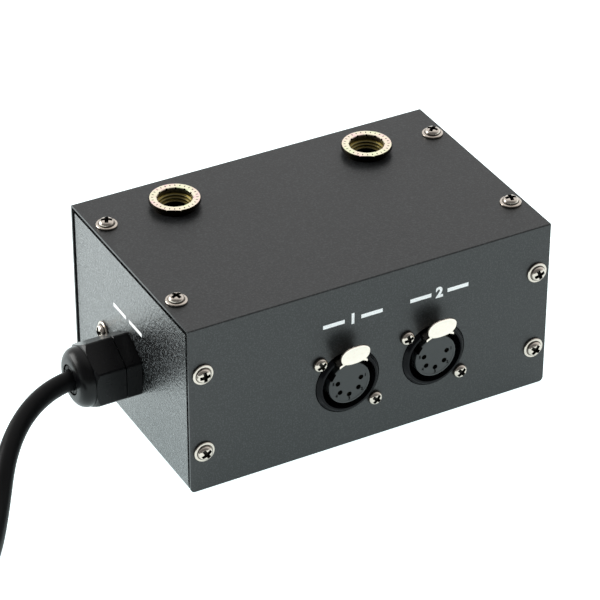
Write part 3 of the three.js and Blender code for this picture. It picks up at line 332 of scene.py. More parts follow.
def mark_deep(piece, depth_at):
    """Marks each face with how much painted shade the finishes give it, from 0 to 1, as told by its
    centre and normal.
    """
    # The attribute named deep holds painted shade: the finishes darken the marked faces as shade.
    marks = piece.data.attributes.new("deep", "FLOAT", "FACE")
    marks.data.foreach_set("value", [float(depth_at(face.center, face.normal))
                                     for face in piece.data.polygons])
    return piece


def settle(piece, place, smooth_degrees):
    """Puts a piece in its place in metres, with its place in its mesh and its shading smoothed."""
    piece.matrix_world = Matrix.Scale(MM, 4) @ place @ piece.matrix_world
    apply_place(piece)
    bpy.ops.object.shade_smooth_by_angle(angle=math.radians(smooth_degrees))
    modify(piece, "WEIGHTED_NORMAL", keep_sharp=True)
    return piece


def dress(piece, slot, nodes=(), body="box", finish=None):
    """Gives a piece its body and its slot's or another finish, and hides the nodes that it stands for.
    """
    piece.data.materials.clear()
    piece.data.materials.append(finish_of(finish or slot))
    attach(piece, body)
    if nodes:
        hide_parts(*nodes)
    return piece


def fit(piece, place, kind, slot, nodes=(), **dressing):
    """Settles a piece of that kind in its place and dresses it."""
    return dress(settle(piece, place, SMOOTH_DEGREES[kind]), slot, nodes, **dressing)


# Finishes: node materials that read Object coordinates, in metres

# The colour sockets of a mix node, which share their names with its other kinds of sockets
MIX_SHARE = 0
MIX_FIRST = 6
MIX_SECOND = 7
MIX_COLOUR = 2


class Finish:
    """A material under construction, with short calls for the nodes that the finishes use."""

    def __init__(self, name, **sockets):
        self.material = bpy.data.materials.new(f"{name}_finish")
        self.material.use_nodes = True
        self.tree = self.material.node_tree
        self.shader = self.tree.nodes["Principled BSDF"]
        self.place = self.add("ShaderNodeTexCoord", {}).outputs["Object"]
        for socket, value in sockets.items():
            self.set(socket.replace("_", " "), value)

    def feed(self, socket, value):
        """Links a socket to another, or gives it a plain value; a colour is made opaque."""
        if isinstance(value, bpy.types.NodeSocket):
            self.tree.links.new(value, socket)
        elif socket.type == "RGBA":
            socket.default_value = (*value, 1)
        else:
            socket.default_value = value

    def add(self, kind, inputs, **settings):
        """A new node with these inputs, by name or number, and these settings."""
        node = self.tree.nodes.new(kind)
        for key, value in settings.items():
            setattr(node, key, value)
        for key, value in inputs.items():
            self.feed(node.inputs[key], value)
        return node

    def set(self, socket, value):
        """Sets or links one of the shader's sockets, named as Blender does but for its case."""
        names = {name.lower(): name for name in self.shader.inputs.keys()}
        self.feed(self.shader.inputs[names[socket.lower()]], value)

    def noise(self, size, detail=2.0, roughness=0.5, stretch=(1, 1, 1)):
        """Noise from 0 to 1 whose lumps are about the size, in millimetres."""
        scaled = self.add("ShaderNodeMapping", {"Vector": self.place, "Scale": stretch})
        inputs = {"Vector": scaled.outputs[0], "Scale": 1 / (size * MM), "Detail": detail,
                  "Roughness": roughness}
        return self.add("ShaderNodeTexNoise", inputs).outputs[0]

    def cells(self, size):
        """Distance to the nearest of scattered points that lie about the size apart."""
        inputs = {"Vector": self.place, "Scale": 1 / (size * MM)}
        return self.add("ShaderNodeTexVoronoi", inputs).outputs["Distance"]

    def ramp(self, value, low, high, from_low=0.0, from_high=1.0):
        """The value's span from from_low to from_high, held at its ends, as low to high."""
        inputs = {"Value": value, "From Min": from_low, "From Max": from_high, "To Min": low,
                  "To Max": high}
        return self.add("ShaderNodeMapRange", inputs, clamp=True).outputs[0]

    def mixed(self, share, first, second):
        """The first colour where the share is 0, and the second where it is 1."""
        inputs = {MIX_SHARE: share, MIX_FIRST: first, MIX_SECOND: second}
        return self.add("ShaderNodeMix", inputs, data_type="RGBA").outputs[MIX_COLOUR]

    def deep(self):
        """How much painted shade a face was marked with, from 1 down to 0, which all unmarked faces
        have.
        """
        return self.add("ShaderNodeAttribute", {}, attribute_name="deep").outputs["Fac"]

    def combined(self, operation, first, second=0):
        """The result of a mathematical operation on one value or two."""
        return self.add("ShaderNodeMath", {0: first, 1: second}, operation=operation).outputs[0]

    def along(self, axis, origin=(0, 0, 0)):
        """How far a point lies from the origin along an axis, in millimetres."""
        shift = [-value for value in origin]
        moved = self.add("ShaderNodeMapping", {"Vector": self.place, "Location": Vector(shift) * MM})
        split = self.add("ShaderNodeSeparateXYZ", {"Vector": moved.outputs[0]})
        return self.combined("MULTIPLY", split.outputs["xyz".index(axis)], 1 / MM)

    def off(self, axis, origin):
        """The same distance, counted alike to either side."""
        return self.combined("ABSOLUTE", self.along(axis, origin))

    def relief(self, *layers):
        """Layers of bump, each a pattern and its depth in millimetres, one over the other."""
        under = {}
        for height, depth in layers:
            inputs = {"Height": height, "Distance": depth * MM, "Strength": 1, **under}
            under = {"Normal": self.add("ShaderNodeBump", inputs).outputs[0]}
        self.set("normal", under["Normal"])


def shaded(colour, *shares):
    """The colour with its channels multiplied by one share, or each by its own."""
    if len(shares) == 1:
        shares *= len(colour)
    return [channel * share for channel, share in zip(colour, shares)]


def black_coat(name="black_coat", grain=0.04, dark_share=0.95, painted_glint_share=2.2, fleck=0.55,
               ior=1.5, rough=(0.33, 0.42), wave=0.02):
    """Powder coat: black with a fine grain and pale flecks that are painted glints, faintly mottled, and
    an even half gloss.
    """
    colour = bpy.context.scene.splitter_colours.coat
    coat = Finish(name, specular_ior_level=0.44, ior=ior)
    mottle = coat.noise(9, detail=4)
    base = coat.mixed(mottle, shaded(colour, 0.74 * dark_share), shaded(colour, dark_share))
    # Painted highlight: pale flecks stand in for the glints of the grain.
    painted_glints = coat.ramp(coat.noise(fleck, detail=1, roughness=0.5), 0, 1, 0.5, 0.66)
    coat.set("base color", coat.mixed(painted_glints, base, shaded(colour, painted_glint_share)))
    coat.set("roughness", coat.ramp(coat.noise(2.4, detail=3), *rough))
    coat.relief((coat.noise(6, detail=1), wave), (coat.noise(0.9, detail=3, roughness=0.6), grain))
    return coat.material


def grained_coat():
    """The same coat where the base sheet has it thicker: orange-peel grain, a base darker than the
    cover's as painted shade, and pale lumps that are painted glints.
    """
    # Painted shade and highlight: the darker base share and the bright flecks.
    return black_coat("grained_coat", grain=0.3, dark_share=0.3, painted_glint_share=8.5, fleck=0.6,
                      ior=2.0, rough=(0.18, 0.24), wave=0.004)


def nickel_plate(name="nickel_plate", share=1.0):
    """Bright nickel with drawing lines, a little haze and small dents; faces marked for painted shade
    turn near black.
    """
    colour = shaded(bpy.context.scene.splitter_colours.nickel, share)
    plate = Finish(name, metallic=1.0)
    haze = plate.noise(1.1, detail=4)
    clean = plate.mixed(haze, shaded(colour, 0.8), colour)
    deep = plate.deep()
    # Painted shade: faces marked as shaded, such as the screws' recesses and the grooves round their
    # feet, turn near black.
    plate.set("base color", plate.mixed(deep, clean, (0.03, 0.028, 0.025)))
    rough = plate.combined("MULTIPLY", deep, 0.4)
    plate.set("roughness", plate.combined("ADD", rough, plate.ramp(haze, 0.1, 0.24)))
    plate.relief((plate.noise(0.5, detail=3, stretch=(1, 1, 4)), 0.008))
    return plate.material


def screw_nickel():
    """The screws' nickel: the same plating in a darker colour, painted shade for the darker surroundings
    that the screws reflect.
    """
    return nickel_plate("screw_nickel", share=0.72)


def yellow_zinc():
    """Yellow passivated zinc: cream above with pink and green bloom, and painted shade: darker brown
    gold lower down the bore, near black on faces marked as shaded.
    """
    colour = bpy.context.scene.splitter_colours.gold
    zinc = Finish("yellow_zinc", metallic=1.0)
    bloom = zinc.ramp(zinc.noise(7, detail=3), 0, 1, 0.38, 0.62)
    pink = shaded(colour, 1, 0.76, 0.98)
    green = shaded(colour, 0.88, 1.02, 0.86)
    tinted = zinc.mixed(bloom, green, pink)
    pale = zinc.mixed(zinc.ramp(zinc.noise(2.2, detail=3), 0, 1, 0.35, 0.65), tinted, colour)
    # Painted shade: lower down, towards and into the bore, the zinc turns darker brown gold.
    depth = zinc.ramp(zinc.along("z", TOP.translation), 0, 1, 0.9, 2.3)
    brown = shaded(colour, 0.72, 0.66, 0.4)
    walls = zinc.mixed(depth, brown, pale)
    # Painted shade: faces marked as shaded, the rim's side, the ticks, the notches and the bore's walls,
    # turn near black.
    zinc.set("base color", zinc.mixed(zinc.deep(), walls, (0.012, 0.009, 0.005)))
    zinc.set("roughness", zinc.ramp(zinc.noise(0.9, detail=4), 0.22, 0.42))
    zinc.relief((zinc.noise(0.35, detail=3), 0.006))
    return zinc.material


def black_shell():
    """Black plated die casting: smooth, half glossy, with the faint ripple of the mould."""
    shell = Finish("black_shell", specular_ior_level=0.08)
    cloud = shell.noise(3, detail=3)
    shell.set("base color", shell.mixed(cloud, (0.003, 0.003, 0.004), (0.005, 0.005, 0.006)))
    shell.set("roughness", shell.ramp(shell.noise(1.2, detail=3), 0.14, 0.22))
    shell.relief((shell.noise(0.7, detail=2), 0.006))
    return shell.material


def grey_insulator():
    """Dark grey moulded insulator with a matt sparked face; faces marked for painted shade, the contact
    holes' walls, turn near black.
    """
    plastic = Finish("grey_insulator", specular_ior_level=0.5)
    cloud = plastic.noise(2.5, detail=4)
    face = plastic.mixed(cloud, (0.011, 0.013, 0.0135), (0.016, 0.018, 0.0185))
    # Painted shade: the marked faces turn near black.
    plastic.set("base color", plastic.mixed(plastic.deep(), face, (0.0008, 0.0008, 0.0008)))
    plastic.set("roughness", plastic.ramp(plastic.noise(0.8, detail=2), 0.38, 0.5))
    plastic.relief((plastic.noise(0.3, detail=2), 0.006))
    return plastic.material


def black_nylon():
    """Black nylon: a fine moulded skin, glossier on the high spots."""
    colour = bpy.context.scene.splitter_colours.nylon
    nylon = Finish("black_nylon", specular_ior_level=0.2)
    cloud = nylon.noise(5, detail=3)
    nylon.set("base color", nylon.mixed(cloud, shaded(colour, 0.8), shaded(colour, 1.2)))
    nylon.set("roughness", nylon.ramp(nylon.noise(1.5, detail=4), 0.24, 0.34))
    nylon.relief((nylon.noise(2.2, detail=2), 0.015), (nylon.noise(0.3, detail=2), 0.006))
    return nylon.material


def black_rubber():
    """Soft black sheath with a dull bloom and faint flow lines."""
    colour = bpy.context.scene.splitter_colours.sheath
    rubber = Finish("black_rubber", specular_ior_level=0.12)
    bloom = rubber.noise(14, detail=5, roughness=0.6)
    rubber.set("base color", rubber.mixed(bloom, shaded(colour, 0.75), shaded(colour, 1.3)))
    rubber.set("roughness", rubber.ramp(rubber.noise(4, detail=4), 0.36, 0.54))
    rubber.relief((rubber.noise(3, detail=2), 0.03), (rubber.noise(0.4, detail=2), 0.008))
    return rubber.material


def white_ink():
    """Screen-printed white with slightly uneven cover."""
    colour = bpy.context.scene.splitter_colours.ink
    ink = Finish("white_ink", roughness=0.5)
    wear = ink.ramp(ink.noise(0.5, detail=3), 0, 1, 0.3, 0.5)
    ink.set("base color", ink.mixed(wear, shaded(colour, 0.8), colour))
    ink.relief((ink.noise(0.3, detail=2), 0.004))
    return ink.material


def dark_ink():
    """The sunken numerals of the insulators, almost black: painted shade for their hollows."""
    ink = Finish("dark_ink", specular_ior_level=0.05)
    ink.set("base color", ink.mixed(ink.noise(0.4), (0.001, 0.001, 0.001), (0.002, 0.002, 0.002)))
    ink.set("roughness", ink.ramp(ink.noise(0.3), 0.55, 0.75))
    return ink.material


def laminate(name="laminate", face_sign=-1, contact_from=25.55):
    """Green board whose contacts, past the plate's face, are gold plated."""
    green = Finish(name)
    past = green.combined("MULTIPLY", green.along("y"), face_sign)
    gold = green.combined("GREATER_THAN", past, contact_from)
    weave = green.add("ShaderNodeTexChecker", {"Vector": green.place, "Scale": 1 / (0.8 * MM)})
    mask = green.mixed(weave.outputs["Fac"], (0.012, 0.09, 0.035), (0.018, 0.11, 0.045))
    tracks = green.ramp(green.cells(4), 0, 1, 0.42, 0.46)
    board = green.mixed(tracks, mask, (0.02, 0.15, 0.06))
    green.set("base color", green.mixed(gold, board, (0.80, 0.62, 0.25)))
    green.set("metallic", gold)
    green.set("roughness", green.ramp(gold, 0.35, 0.2))
    green.relief((tracks, 0.02))
    return green.material


def epoxy(name="epoxy", centre_point=None, half_height=0.0):
    """Black casting resin with fine sand in it; where a centre is given, its legs are tinned."""
    resin = Finish(name)
    sand = resin.noise(0.4, detail=3)
    body = resin.mixed(sand, (0.012, 0.012, 0.013), (0.028, 0.028, 0.03))
    if centre_point:
        leg = resin.combined("GREATER_THAN", resin.off("z", centre_point), half_height)
        resin.set("base color", resin.mixed(leg, body, (0.72, 0.71, 0.68)))
        resin.set("metallic", leg)
    else:
        resin.set("base color", body)
    resin.set("roughness", resin.ramp(sand, 0.45, 0.62))
    resin.relief((sand, 0.012))
    return resin.material


def green_moulding():
    """Green terminal moulding with a sparked surface."""
    plastic = Finish("green_moulding")
    cloud = plastic.noise(3, detail=3)
    plastic.set("base color", plastic.mixed(cloud, (0.035, 0.2, 0.08), (0.05, 0.27, 0.11)))
    plastic.set("roughness", plastic.ramp(cloud, 0.38, 0.5))
    plastic.relief((plastic.noise(0.35, detail=2), 0.01))
    return plastic.material


def fuse_glass():
    """A glass tube between two nickel caps."""
    cap_inside = (high_corner("fuse") - low_corner("fuse")).x / 4
    glass = Finish("fuse_glass", ior=1.5)
    cap = glass.combined("GREATER_THAN", glass.off("x", centre("fuse")), cap_inside)
    glass.set("base color", glass.mixed(cap, (0.8, 0.86, 0.86), (0.74, 0.72, 0.68)))
    glass.set("metallic", cap)
    glass.set("transmission weight", glass.ramp(cap, 0.9, 0))
    glass.set("roughness", glass.ramp(glass.noise(1, detail=3), 0.05, 0.16))
    glass.relief((glass.noise(2, detail=2), 0.01))
    return glass.material


def blue_sleeve():
    """The shrink sleeve of a capacitor, with a paler polarity stripe down one side."""
    stripe_from = 3.6
    sleeve = Finish("blue_sleeve")
    side = sleeve.along("x", centre("smoothing_capacitor"))
    stripe = sleeve.combined("GREATER_THAN", side, stripe_from)
    cloud = sleeve.noise(4, detail=3)
    body = sleeve.mixed(cloud, (0.01, 0.03, 0.16), (0.015, 0.045, 0.22))
    sleeve.set("base color", sleeve.mixed(stripe, body, (0.42, 0.46, 0.55)))
    sleeve.set("roughness", sleeve.ramp(cloud, 0.22, 0.34))
    sleeve.relief((sleeve.noise(0.8, detail=2), 0.01))
    return sleeve.material


def grey_ribbon():
    """Ribbon cable: five grey cores side by side, the outer one red."""
    ribbon = Finish("grey_ribbon")
    across = ribbon.along("x", low_corner("inlet_ribbon"))
    core_width = (high_corner("inlet_ribbon") - low_corner("inlet_ribbon")).x / 5
    core = ribbon.combined("PINGPONG", across, core_width / 2)
    first = ribbon.combined("LESS_THAN", across, core_width)
    grey = ribbon.mixed(ribbon.noise(3), (0.26, 0.26, 0.25), (0.34, 0.34, 0.33))
    ribbon.set("base color", ribbon.mixed(first, grey, (0.45, 0.03, 0.03)))
    ribbon.set("roughness", ribbon.ramp(ribbon.noise(2), 0.4, 0.52))
    ribbon.relief((ribbon.ramp(core, 0, 1, 0, core_width / 2), 0.35))
    return ribbon.material


def red_wire():
    """The two supply wires: one red, one black, in glossy insulation."""
    wires = Finish("red_wire")
    side = wires.along("x", centre("supply_wires"))
    second = wires.combined("GREATER_THAN", side, 0)
    red = wires.mixed(wires.noise(5), (0.36, 0.02, 0.015), (0.5, 0.035, 0.02))
    wires.set("base color", wires.mixed(second, red, (0.012, 0.012, 0.012)))
    wires.set("roughness", wires.ramp(wires.noise(3, detail=3), 0.26, 0.4))
    wires.relief((wires.noise(1, detail=2), 0.02))
    return wires.material


MAKERS = {maker.__name__: maker for maker in (
    black_coat, grained_coat, nickel_plate, screw_nickel, yellow_zinc, black_shell, grey_insulator,
    black_nylon, black_rubber, white_ink, dark_ink, laminate, epoxy, green_moulding, fuse_glass,
    blue_sleeve, grey_ribbon, red_wire)}
FINISHES = {}


def finish_of(name):
    """The finish of that name, made when it is first asked for."""
    if name not in FINISHES:
        FINISHES[name] = MAKERS[name]()
    return FINISHES[name]


def repaint(node, finish):
    """Gives a CAD node that keeps its shape its finish."""
    for material_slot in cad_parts[node].material_slots:
        material_slot.material = finish


# The mains cord

def route_curve(points, spacing=2.0):
    """Points at about the spacing along the centripetal Catmull-Rom curve through these points."""
    points = [Vector(point) for point in points]
    first = points[0] * 2 - points[1]
    last = points[-1] * 2 - points[-2]
    padded = [first, *points, last]
    curve = [points[0]]
    for a, b, c, d in zip(padded, padded[1:], padded[2:], padded[3:]):
        t1 = math.sqrt((b - a).length)
        t2 = t1 + math.sqrt((c - b).length)
        t3 = t2 + math.sqrt((d - c).length)
        count = max(2, round((c - b).length / spacing))
        for k in range(1, count + 1):
            t = t1 + (t2 - t1) * k / count
            ab = a.lerp(b, t / t1)
            bc = b.lerp(c, (t - t1) / (t2 - t1))
            cd = c.lerp(d, (t - t2) / (t3 - t2))
            abc = ab.lerp(bc, t / t2)
            bcd = bc.lerp(cd, (t - t1) / (t3 - t1))
            curve.append(abc.lerp(bcd, (t - t1) / (t2 - t1)))
    return curve


def coil_point(turn):
    """The coil's centre line: turns spiral in on the floor, climb, and spiral out again on them."""
    rounds = COIL["turns_in"] + COIL["turns_out"]
    held = min(max(turn, 0), rounds)
    inward = min(held, 2 * COIL["turns_in"] - held)
    radius = COIL["radius"] - COIL["pitch"] * inward
    climbed = held - COIL["turns_in"] + COIL["climb_turns"] / 2
    climb = min(max(climbed / COIL["climb_turns"], 0), 1)
    angle = math.radians(COIL["start_degrees"]) - held * math.tau
    return Vector((COIL["x"] + radius * math.cos(angle), COIL["y"] + radius * math.sin(angle),
                   LEAD_RADIUS + COIL["pitch"] * climb))


def level_step(start, end, length):
    """A step of that length, level, in the direction from start to end."""
    step = end - start
    step.z = 0
    return step.normalized() * length


def coil_line():
    """The turns, with one diameter straight on at each end."""
    rounds = COIL["turns_in"] + COIL["turns_out"]
    count = round(rounds * COIL["steps"])
    turns = [coil_point(rounds * k / count) for k in range(count + 1)]
    beside = 0.5 / COIL["steps"]
    before = turns[0] + level_step(coil_point(beside), turns[0], LEAD_RADIUS * 2)
    after = turns[-1] + level_step(coil_point(rounds - beside), turns[-1], LEAD_RADIUS * 2)
    return [before, *turns, after]


def plug_frame():
    """The plug's frame, from its tail along its axis: it lies on the rims of its relief and face."""
    length = PLUG["relief_length"] + PLUG["grip_length"] + PLUG["flare"]
    tilt = math.atan((PLUG["face"] - PLUG["relief"]) / length)
    aim = math.radians(PLUG["aim_degrees"])
    axis = Vector((math.cos(aim) * math.cos(tilt), math.sin(aim) * math.cos(tilt), math.sin(tilt)))
    tail = Vector((PLUG["x"], PLUG["y"], PLUG["relief"] * math.cos(tilt) + PLUG["seat"]))
    turn = Vector((0, 0, 1)).rotation_difference(axis).to_matrix().to_4x4()
    return Matrix.Translation(tail) @ turn


def cord_line():
    """The whole lead's centre line: gland to coil, the coil, and coil to plug."""
    coil = coil_line()
    run = COIL["run"]
    start_step = (coil[0] - coil[1]).normalized()
    end_step = (coil[-1] - coil[-2]).normalized()
    coil_start = coil[0] + start_step * GAP
    coil_end = coil[-1] + end_step * GAP
    to_coil = route_curve([LEAD_START, *LEAD_ROUTE, coil[0] + start_step * run, coil_start])
    plug = plug_frame()
    tail = plug.translation
    back = plug.to_3x3() @ Vector((0, 0, -1))
    before_plug = tail + back * GAP
    to_plug = route_curve([coil_end, coil[-1] + end_step * run, *PLUG_ROUTE,
                           before_plug + back * PLUG["lead_in"], before_plug])
    return [*to_coil, *coil, *to_plug]


def lay_cord(plug_pieces):
    """The mains lead as one curve from inside the gland to the plug."""
    points = [point * MM for point in cord_line()]
    line = bpy.data.curves.new("mains_cord", "CURVE")
    line.dimensions = "3D"
    line.bevel_depth = LEAD_RADIUS * MM
    line.bevel_resolution = 6
    line.use_fill_caps = True
    spline = line.splines.new("POLY")
    spline.points.add(len(points) - 1)
    for spot, point in zip(spline.points, points):
        spot.co = (*point, 1)
    spline.use_smooth = True
    cord = bpy.data.objects.new("mains_cord", line)
    bpy.context.collection.objects.link(cord)
    dress(cord, "black_rubber", ("mains_lead", "mains_coil", "plug_lead"))


def plug_body():
    """The moulded plug: ribbed relief, fluted grip, round face with a recess and earth grooves."""
    grip_at = PLUG["relief_length"] + PLUG["flare"]
    flare_at = PLUG["relief_length"] + PLUG["grip_length"]
    face_at = flare_at + PLUG["face_length"]
    grip_end = flare_at - PLUG["flare"]
    rim_at = flare_at + PLUG["flare"]
    outline = [(0, 0), (PLUG["relief"] - 0.5, 0), (PLUG["relief"], 0.5)]
    for k in range(PLUG["ribs"]):
        # Grooves part the ribs of the relief, which widens towards the grip
        share = (k + 0.5) / PLUG["ribs"]
        at = PLUG["relief_length"] * share
        radius = PLUG["relief"] + (PLUG["relief_end"] - PLUG["relief"]) * share
        floor = radius - PLUG["groove_depth"]
        outline += [(radius, at), (floor, at + PLUG["groove_starts"]),
                    (floor, at + PLUG["groove_ends"]), (radius, at + PLUG["groove_width"])]
    outline += [
        (PLUG["relief_end"], PLUG["relief_length"]), (PLUG["grip"] - 0.8, grip_at - 0.6),
        (PLUG["grip"], grip_at + 0.4), (PLUG["grip"], grip_end),
        (PLUG["grip"] + 1.2, flare_at - PLUG["flare"] / 2), (PLUG["face"] - 1, rim_at - 1),
        (PLUG["face"], rim_at), (PLUG["face"], face_at - 0.6), (PLUG["face"] - 0.6, face_at),
        (0, face_at),
    ]
    plug = turned("plug_moulding", outline, sides=72)
    w = PLUG["bridge_width"] / 2 + GAP
    h = PLUG["bridge_height"] / 2 + GAP
    past = face_at + OVERRUN
    cutters = [block("recess", (-w, -h, face_at - PLUG["bridge_depth"] - GAP), (w, h, past))]
    half = PLUG["earth_width"] / 2
    for side in (-1, 1):
        floor = side * (PLUG["face"] - PLUG["earth_depth"])
        cutters.append(block("earth_groove", (-half, floor, rim_at),
                             (half, side * (PLUG["face"] + OVERRUN), past)))
    for x, y in around(PLUG["flutes"], PLUG["grip"] + PLUG["flute_out"], first=0.5):
        cutters.append(rod("flute", PLUG["flute"], grip_at + PLUG["flute_ends"],
                           grip_end - PLUG["flute_ends"], sides=16, at=(x, y, 0)))
    cut(plug, cutters)
    soften(plug, 0.25)
    return fit(plug, plug_frame(), "plug", "black_nylon", ["mains_plug"])


def plug_contacts():
    """The plug's two round pins on their bridge, with rounded tips."""
    face_at = PLUG["relief_length"] + PLUG["grip_length"] + PLUG["face_length"]
    w = PLUG["bridge_width"] / 2
    h = PLUG["bridge_height"] / 2
    bridge = block("plug_contacts", (-w, -h, face_at - PLUG["bridge_depth"]), (w, h, face_at))
    radius = PLUG["pin"]
    root = face_at - PLUG["bridge_depth"] / 2
    tip = face_at + PLUG["pin_length"]
    outline = [(0, root), (radius, root),
               (radius, tip - radius * 0.7), (radius * 0.86, tip - radius * 0.3),
               (radius * 0.5, tip - 0.05), (0, tip)]
    pin = turned("pin", outline, sides=40)
    other = copy_of(pin, "pin")
    for side, piece in ((-1, pin), (1, other)):
        piece.location.x = side * PLUG["pin_spacing"] / 2
        apply_place(piece)
    cut(bridge, [pin, other], operation="UNION")
    soften(bridge, 0.2)
    return fit(bridge, plug_frame(), "plug", "nickel_plate", ["plug_pins"])


# The folded sheets

def hole(node, radius, face, axis, sides=32):
    """A cutter at a node, through the sheet whose face lies there along the axis."""
    return rod("hole", radius, face - OVERRUN, face + OVERRUN, sides=sides, axis=axis, at=centre(node))


def cover_screw_holes(low, high):
    """Holes for the cover's screws in the top, the front and the rear between these corners."""
    return [hole(f"cover_screw_{side}_{k}", COVER_SCREW["shank"] + GAP, face, axis)
            for side, face, axis in (("top", high.z, "z"), ("front", low.y, "y"), ("rear", high.y, "y"))
            for k in range(1, 5)]


def connector_holes(insert, screw, face):
    """Holes for a connector's barrel and its two screws."""
    return [hole(insert, SHELL["radius"] + GAP, face, "y", sides=96),
            *(hole(f"{screw}_{end}", SHELL["screw_hole"], face, "y") for end in ("upper", "lower"))]


def cover_sheet():
    """The cover: one sheet folded down at the front and the rear, with all its holes."""
    sizes = bpy.context.scene.splitter_sizes
    low = BOX_LOW
    high = BOX_HIGH
    cover = block("cover_sheet", low, high)
    with editing(cover):
        pick("FACE", lambda face: abs(face.normal.x) > 0.5 or face.normal.z < -0.5)
        bpy.ops.mesh.delete(type="FACE")
        for side, radius in ((-1, sizes.front_fold), (1, sizes.rear_fold)):
            pick("EDGE", lambda edge: runs_along(edge, 0) and middle(edge).z > high.z - NEAR
                 and middle(edge).y * side > high.y - NEAR)
            bpy.ops.mesh.bevel(offset=radius / MM, segments=10, affect="EDGES")
        pick("VERT", lambda vertex: vertex.co.z < low.z + NEAR)
        bpy.ops.mesh.bevel(offset=sizes.foot_corner / MM, segments=6, affect="VERTICES")
    modify(cover, "SOLIDIFY", thickness=sizes.cover_sheet / MM, offset=-1, use_even_offset=True)
    cutters = cover_screw_holes(low, high)
    for k in (1, 2):
        cutters.append(hole(f"receptacle_nut_{k}", RING["barrel"] + GAP, high.z, "z", sides=72))
        cutters += connector_holes(f"outlet_insert_{k}", f"outlet_screw_{k}", low.y)
    cutters += connector_holes("inlet_insert", "inlet_screw", high.y)
    cut(cover, cutters)
    soften(cover, sizes.edge_break / MM)
    fit(cover, UNTURNED, "sheet", "black_coat", ["cover"])


def tray_sheet():
    """The base: one sheet folded up at both ends, each with flanges that the cover screws into."""
    sizes = bpy.context.scene.splitter_sizes
    back = TRAY["set_back"]
    low = TRAY_LOW + Vector((0, back, 0))
    high = TRAY_HIGH - Vector((0, back, back))
    sheet = sizes.tray_sheet / MM
    open_x = high.x - TRAY["flange"]
    tray = block("tray_sheet", low, high)
    with editing(tray):
        pick("EDGE", lambda edge: abs(middle(edge).x) > high.x - NEAR and middle(edge).z < low.z + NEAR)
        bpy.ops.mesh.bevel(offset=sizes.tray_fold / MM, segments=6, affect="EDGES")
        for x in (-open_x, open_x):
            bpy.ops.mesh.select_mode(type="FACE")
            bpy.ops.mesh.select_all(action="SELECT")
            bpy.ops.mesh.bisect(plane_co=(x, 0, 0), plane_no=(1, 0, 0))
        pick("FACE", lambda face: abs(face.calc_center_median().x) < open_x and face.normal.z > -0.5)
        bpy.ops.mesh.delete(type="FACE")
    modify(tray, "SOLIDIFY", thickness=sheet, offset=-1, use_even_offset=True)
    relief = TRAY["relief"]
    cutters = []
    for end in (-1, 1):
        inward = end * (open_x - OVERRUN)
        wall = end * (high.x - sheet)
        for side in (-1, 1):
            past = side * (high.y + OVERRUN)
            cutters.append(block("top_relief", (inward, side * (high.y - relief), high.z - relief),
                                 (wall, past, high.z + OVERRUN)))
            cutters.append(block("foot_relief", (inward, side * (high.y - sheet), sheet),
                                 (wall, past, sheet + relief)))
    cutters += cover_screw_holes(low, high)
    cutters.append(hole("gland_nut", GLAND["thread"] + GAP, low.x, "x", sides=96))
    cutters.append(hole("earth_screw", COVER_SCREW["shank"] + GAP, low.x, "x"))
    for k in (1, 2):
        cutters.append(hole(f"supply_screw_{k}", SHELL["screw_hole"], low.z, "z"))
    cut(tray, cutters)
    soften(tray, sizes.edge_break / MM)
    fit(tray, UNTURNED, "sheet", "black_coat", ["base_tray"], finish="grained_coat")


# Screws

def cross_arms(size):
    """Two tapered bars that cut a cross recess into a screw's head."""
    taper = 0.62
    top = size["height"] + 0.6
    bottom = size["height"] - size["cross_depth"]
    arms = []
    for w, d in ((size["cross_span"], size["cross_width"]), (size["cross_width"], size["cross_span"])):
        arm = block("cross_arm", (-w / 2, -d / 2, bottom), (w / 2, d / 2, top))
        with editing(arm):
            pick("FACE", lambda face: face.normal.z < -0.5)
            bpy.ops.transform.resize(value=(taper, taper, 1))
        arms.append(arm)
    return arms


def mark_recess(screw, size):
    """Marks a head's cross recess for painted shade, and the groove round its foot a little less."""
    near = 0.1
    reach = size["cross_span"] / 2 + near
    floor = size["height"] - size["cross_depth"]
    # The share of painted shade in the groove round the head's foot
    groove_depth = 0.85
    groove_low = size["flange_height"] - 0.02
    groove_high = 0.45 * size["height"]

    def in_recess(spot, normal):
        radius = math.hypot(spot.x, spot.y)
        if abs(radius - size["head"]) < 2 * near:
            return groove_depth * (groove_low < spot.z < groove_high)
        inside = radius < reach and spot.z > floor - near
        return inside and (normal.z < 0.4 or spot.z < floor + near)

    return mark_deep(screw, in_recess)


def crossed(name, size, outline, sides, edge):
    """A screw of that outline with a cross recess in its head, and its sharp edges broken."""
    screw = turned(name, outline, sides=sides)
    cut(screw, cross_arms(size))
    return mark_recess(soften(screw, edge, over_degrees=38), size)


def cover_screw(name):
    """A pan head on a washer flange, with a cross recess."""
    s = COVER_SCREW
    head = s["head"]
    seat = s["flange_height"]
    rise = s["height"] - seat
    outline = [
        (0, -s["shank_length"]), (s["shank"] * 0.5, -s["shank_length"]),
        (s["shank"], 1.2 - s["shank_length"]), (s["shank"], 0),
        (s["flange"] - 0.1, 0), (s["flange"], 0.12), (s["flange"], seat - 0.18),
        (s["flange"] - 0.18, seat), (head + 0.25, seat + 0.02), (head + 0.02, seat + 0.04),
        (head, seat + rise * 0.22), (head * 0.965, seat + rise * 0.42),
        (head * 0.87, seat + rise * 0.66), (head * 0.7, seat + rise * 0.85),
        (head * 0.42, seat + rise * 0.97), (0, s["height"]),
    ]
    return crossed(name, s, outline, sides=56, edge=0.07)


